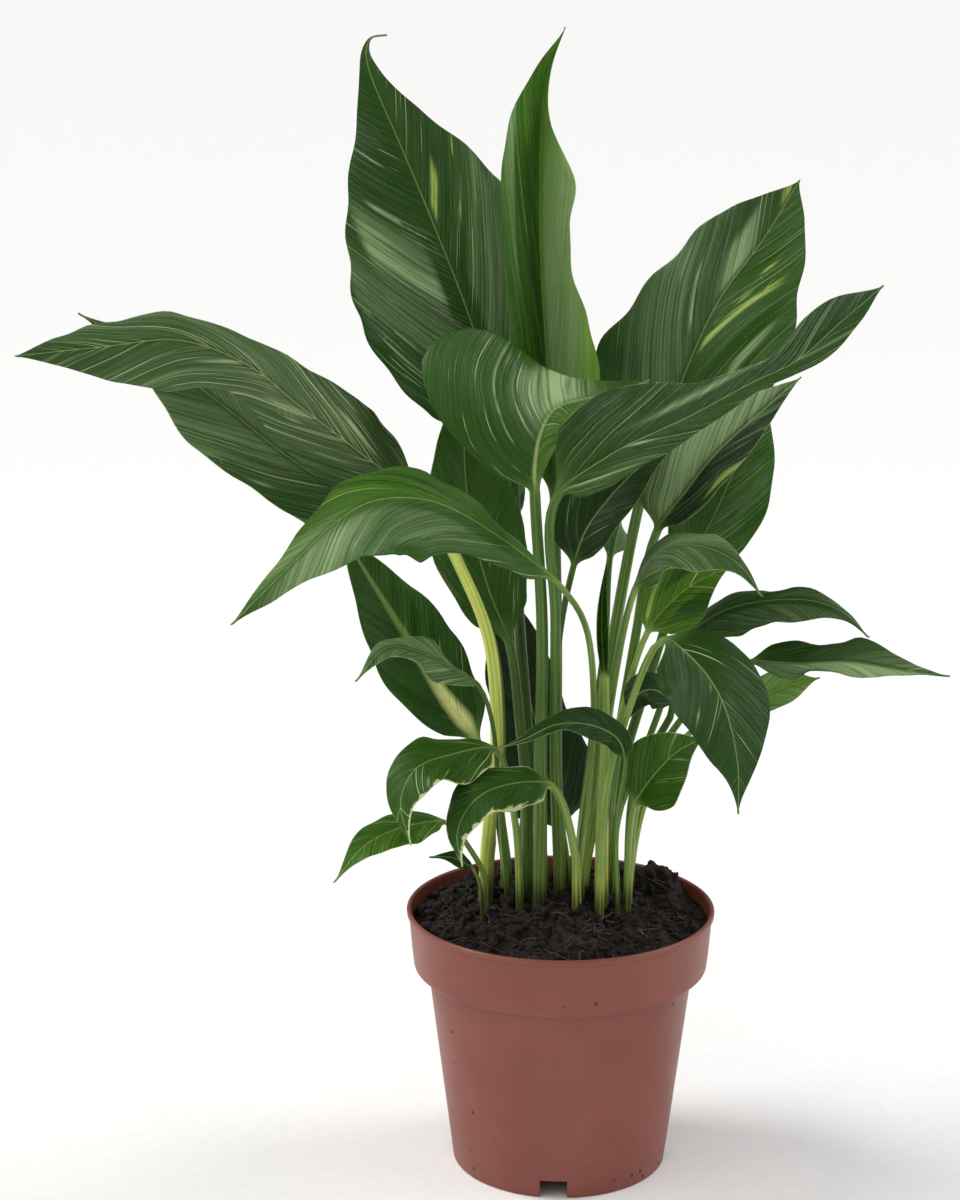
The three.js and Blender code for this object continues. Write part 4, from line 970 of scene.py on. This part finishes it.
def peatFinish(name, dark, light, scale):
    # Moist sphagnum peat, IOR 1.4, quite matt: near black, with browner crumbs and fibres. One grain of
    # its pattern is 1 / scale of a metre: 6 mm in the bed, 11 mm on crumbs and 17 mm on fibres.
    material, add = newMaterial(name)
    place = add("TexCoord").outputs["Object"]
    clump = add("TexNoise", {"Vector": place, "Scale": scale, "Detail": 8.0, "Roughness": 0.7})
    colour = add("ValToRGB", {"Fac": clump}, stops=[(0.38, soilFinish[dark]), (0.62, soilFinish[light])])
    rough = add("MapRange", clump, 0.0, 1.0, 0.62, 1.0)
    bump = add("Bump", {"Height": clump, "Strength": 1.0, "Distance": soilFinish["relief"] * mm})
    add("OutputMaterial", {"Surface": add("BsdfPrincipled", {
        "Base Color": colour, "Roughness": rough, "Normal": bump, "IOR": soilFinish["ior"]})})
    return material


def soilHeight(x, y, shape):
    # the same heap and clods as the solid, with a higher lump
    away = np.hypot(x - shape["crown"][0], y - shape["crown"][1])
    heap = shape["heap"] * np.exp(-((away / shape["heapRadius"]) ** 2))
    clods = np.sin(x * 0.31 + 2) * np.cos(y * 0.27) + np.sin(x * 0.13 - y * 0.19 + 1)
    moundX, moundY, rise, breadth = shape["mound"]
    mound = rise * np.exp(-((x - moundX) ** 2 + (y - moundY) ** 2) / breadth)
    calm = 1 - (np.hypot(x, y) / potShape["rim"]) ** 4
    return shape["edge"] + heap + mound + clods * calm


def makeSoil(shape, material):
    pot, gap = potShape, potShape["wall"] + shape["gap"]
    side = [(0, shape["bottom"]), (pot["base"] - gap - 0.3, shape["bottom"]),
            (pot["neckRadius"] - gap, pot["neckHeight"] + 1),
            (pot["collarRadius"] - gap, pot["collarHeight"] + 1), (pot["rim"] - gap - 1.4, shape["edge"])]
    reach = side[-1][0]
    radii = reach * (1 - (np.arange(1, shape["rings"]) / shape["rings"]))
    profile = side + [(r, shape["edge"]) for r in radii] + [(0, shape["edge"])]
    soil = turnedSolid("potting_peat", profile, shape["sides"], material)
    spots = np.empty(len(soil.data.vertices) * 3)
    soil.data.vertices.foreach_get("co", spots)
    spots = spots.reshape(-1, 3)
    x, y, z = (spots / mm).T
    top = z > shape["edge"] - 0.1
    calm = 1 - smoothStep(np.hypot(x, y), reach - shape["calmEdge"], reach) * 0.7
    rough = sum(rise * lumps(x, y, 3 + i, cell) for i, (rise, cell) in enumerate(shape["clods"]))
    z[top] = (soilHeight(x, y, shape) + rough * calm)[top]
    spots[:, 2] = z * mm
    soil.data.vertices.foreach_set("co", spots.ravel())
    soil.data.update()
    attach(soil, "root")
    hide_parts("soil")
    return soil


crumbs = {
    "perSquareMetre": 190000, "within": 56,  # mm from the pot's axis
    "least": 0.5, "most": 3.1,  # mm, half size
    "seed": 11,
}

fibres = {
    "perSquareMetre": 20000, "within": 49, "length": 8.0, "thickness": 0.15,  # mm
    "seed": 23,
}

fullTurn = 6.28  # radians


def scatterTree(name, settings):
    # Geometry Nodes: points at random on the upward faces of the soil's top
    tree = bpy.data.node_groups.new(name, "GeometryNodeTree")
    add = partial(addNode, tree)
    tree.interface.new_socket("Geometry", in_out="INPUT", socket_type="NodeSocketGeometry")
    for key, value in settings.items():
        kind = "NodeSocketInt" if key == "seed" else "NodeSocketFloat"
        tree.interface.new_socket(key, in_out="INPUT", socket_type=kind).default_value = value
    tree.interface.new_socket("Geometry", in_out="OUTPUT", socket_type="NodeSocketGeometry")
    given = add("NodeGroupInput").outputs
    upwards = add("SeparateXYZ", add("GeometryNodeInputNormal")).outputs["Z"]
    position = add("GeometryNodeInputPosition")
    above = add("SeparateXYZ", position).outputs["Z"]
    away = add("VectorMath", position, (1 / mm, 1 / mm, 0), operation="MULTIPLY")
    away = add("VectorMath", away, operation="LENGTH")
    near = add("FunctionNodeCompare", away, given["within"], operation="LESS_THAN")
    facing = add("FunctionNodeCompare", upwards, soilShape["loose"][1], operation="GREATER_THAN")
    high = add("FunctionNodeCompare", above, soilShape["loose"][0] * mm, operation="GREATER_THAN")
    top = add("FunctionNodeBooleanMath", facing, high, operation="AND")
    top = add("FunctionNodeBooleanMath", top, near, operation="AND")
    points = add("GeometryNodeDistributePointsOnFaces", {
        "Mesh": given["Geometry"], "Selection": top, "Density": given["perSquareMetre"],
        "Seed": given["seed"]})
    return tree, add, given, points


def crumbTree(settings, material):
    # irregular lumps, most of them small, squashed and turned at random
    tree, add, given, points = scatterTree("peat_crumbs", settings)
    lump = add("GeometryNodeMeshIcoSphere", {"Radius": 1.0, "Subdivisions": 2})
    spin = add("FunctionNodeRandomValue", (0, 0, 0), (fullTurn,) * 3, {"Seed": given["seed"]},
               data_type="FLOAT_VECTOR")
    draw = add("FunctionNodeRandomValue", {2: 0.0, 3: 1.0, "Seed": given["seed"]}, data_type="FLOAT")
    few = add("Math", draw, 3.0, operation="POWER")
    span = add("Math", given["most"], given["least"], operation="SUBTRACT")
    size = add("Math", few, span, given["least"], operation="MULTIPLY_ADD")
    size = add("Math", size, mm, operation="MULTIPLY")
    squash = add("FunctionNodeRandomValue", (0.6, 0.6, 0.4), (1.3, 1.0, 0.8), {"Seed": given["seed"]},
                 data_type="FLOAT_VECTOR")
    scale = add("VectorMath", squash, {"Scale": size}, operation="SCALE")
    placed = add("GeometryNodeInstanceOnPoints", {
        "Points": points, "Instance": lump, "Rotation": spin, "Scale": scale})
    real = add("GeometryNodeRealizeInstances", placed)
    jag = add("TexNoise", {"Vector": add("GeometryNodeInputPosition"), "Scale": 900.0, "Detail": 2.0})
    jag = add("VectorMath", jag.outputs["Color"], (0.5, 0.5, 0.5), operation="SUBTRACT")
    jag = add("VectorMath", jag, {"Scale": 1.8 * mm}, operation="SCALE")
    moved = add("GeometryNodeSetPosition", {"Geometry": real, "Offset": jag})
    add("NodeGroupOutput", add("GeometryNodeSetMaterial", {"Geometry": moved, "Material": material}))
    return tree


def fibreTree(settings, material):
    # thin bowed hairs of root, lying on the peat
    tree, add, given, points = scatterTree("root_fibres", settings)
    bow = add("GeometryNodeCurveQuadraticBezier", {
        "Resolution": 7, "Start": (-0.5, 0, 0), "Middle": (0.05, 0.32, 0.12), "End": (0.5, -0.1, 0.02)})
    section = add("GeometryNodeCurvePrimitiveCircle", {"Resolution": 4, "Radius": 1.0})
    thin = add("Math", given["thickness"], given["length"], operation="DIVIDE")
    sized = add("GeometryNodeCurveToMesh", {
        "Curve": bow, "Profile Curve": section, "Scale": thin, "Fill Caps": True})
    spin = add("FunctionNodeRandomValue", (-0.5, -0.5, 0), (0.5, 0.5, fullTurn), {"Seed": given["seed"]},
               data_type="FLOAT_VECTOR")
    draw = add("FunctionNodeRandomValue", {2: 0.35, 3: 1.6, "Seed": given["seed"]}, data_type="FLOAT")
    extent = add("Math", draw, given["length"], operation="MULTIPLY")
    extent = add("Math", extent, mm, operation="MULTIPLY")
    placed = add("GeometryNodeInstanceOnPoints", {
        "Points": points, "Instance": sized, "Rotation": spin, "Scale": extent})
    real = add("GeometryNodeRealizeInstances", placed)
    moved = add("GeometryNodeSetPosition", {"Geometry": real, "Offset": (0, 0, 0.4 * mm)})
    add("NodeGroupOutput", add("GeometryNodeSetMaterial", {"Geometry": moved, "Material": material}))
    return tree


def grownFrom(name, soil, tree, settings):
    # runs a Geometry Nodes tree on a copy of the soil and keeps the result as a plain mesh
    source = newObject(name, soil.data.copy())
    modifier = source.modifiers.new(name, "NODES")
    modifier.node_group = tree
    for item in tree.interface.items_tree:
        if item.in_out == "INPUT" and item.name in settings:
            modifier[item.identifier] = settings[item.name]
    mesh = finishedMesh(source)
    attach(source, "root")
    print(name, len(mesh.polygons), "faces")


soilPiece = makeSoil(soilShape, peatFinish("moist peat", "peat", "brown", 160.0))
crumbPeat = peatFinish("peat crumbs", "peat", "brown", 90.0)
rootFibre = peatFinish("root fibres", "fibre", "paleFibre", 60.0)
grownFrom("peat_crumbs", soilPiece, crumbTree(crumbs, crumbPeat), crumbs)
grownFrom("root_fibres", soilPiece, fibreTree(fibres, rootFibre), fibres)
print("soil made")


studio = {
    "floor": "#f3f2f0", "floorFleck": "#f7f6f4",
    "floorHalf": 30,  # m
    "sky": "#f4f6f8", "skyStrength": 0.30,
    "backdropStrength": 1.12,  # how bright the same sky looks beyond the floor's far edge
    "target": (0, 0, 0.2),  # m, what the lamps look at
    "suns": {  # name: where it comes from, strength, and its angle across in degrees
        "left_sun": ((-1.0, 0.25, 1.2), 1.9, 26),
        "right_sun": ((1.1, 0.35, 1.0), 1.05, 26),
        "front_sun": ((-0.3, -1.0, 1.2), 0.5, 50),
    },
    "lamps": {  # name: place in m, size in m, watts, warmth
        "left_softbox": ((-1.3, -0.5, 0.8), 0.8, 5, "#fffaf2"),
        "right_softbox": ((1.4, -0.4, 0.7), 0.8, 5, "#f6f9ff"),
    },
}


def studioFloor(settings):
    # Seamless pale paper, IOR 1.5, matt, with a barely visible tooth of 5 mm, as fine as it can show.
    material, add = newMaterial("studio paper")
    tooth = add("TexNoise", {"Vector": add("TexCoord").outputs["Object"], "Scale": 220.0, "Detail": 4.0})
    colour = add("ValToRGB", {"Fac": tooth}, stops=[(0.3, settings["floor"]), (0.7, settings["floorFleck"])])
    add("OutputMaterial", {"Surface": add("BsdfPrincipled", {"Base Color": colour, "Roughness": 0.9})})
    half = settings["floorHalf"]
    corners = [(-half, -half, 0), (half, -half, 0), (half, half, 0), (-half, half, 0)]
    floor = newPiece("studio_floor", corners, [(0, 1, 2, 3)], material, smooth=False)


def aim(holder, direction):
    holder.rotation_euler = direction.to_track_quat("-Z", "Y").to_euler()


def lightStudio(settings):
    world = bpy.data.worlds.new("studio")
    bpy.context.scene.world = world
    world.use_nodes = True
    sky = world.node_tree.nodes["Background"]
    sky.inputs["Color"].default_value = hexColour(settings["sky"])
    direct = addNode(world.node_tree, "LightPath").outputs["Is Camera Ray"]
    strength = addNode(world.node_tree, "MapRange", direct, 0.0, 1.0, settings["skyStrength"],
                       settings["backdropStrength"])
    world.node_tree.links.new(strength.outputs[0], sky.inputs["Strength"])
    for name, (place, size, watts, tint) in settings["lamps"].items():
        lamp = bpy.data.lights.new(name, "AREA")
        lamp.shape, lamp.size, lamp.energy = "SQUARE", size, watts
        lamp.color = hexColour(tint)[:3]
        holder = newObject(name, lamp)
        holder.location = place
        aim(holder, Vector(settings["target"]) - Vector(place))
    for name, (source, strength, angle) in settings["suns"].items():
        sun = bpy.data.lights.new(name, "SUN")
        sun.energy, sun.angle = strength, math.radians(angle)
        aim(newObject(name, sun), -Vector(source))
    bpy.context.scene.view_settings.view_transform = "Standard"  # plain colours, as the photograph has them


studioFloor(studio)
lightStudio(studio)
print("studio lit")
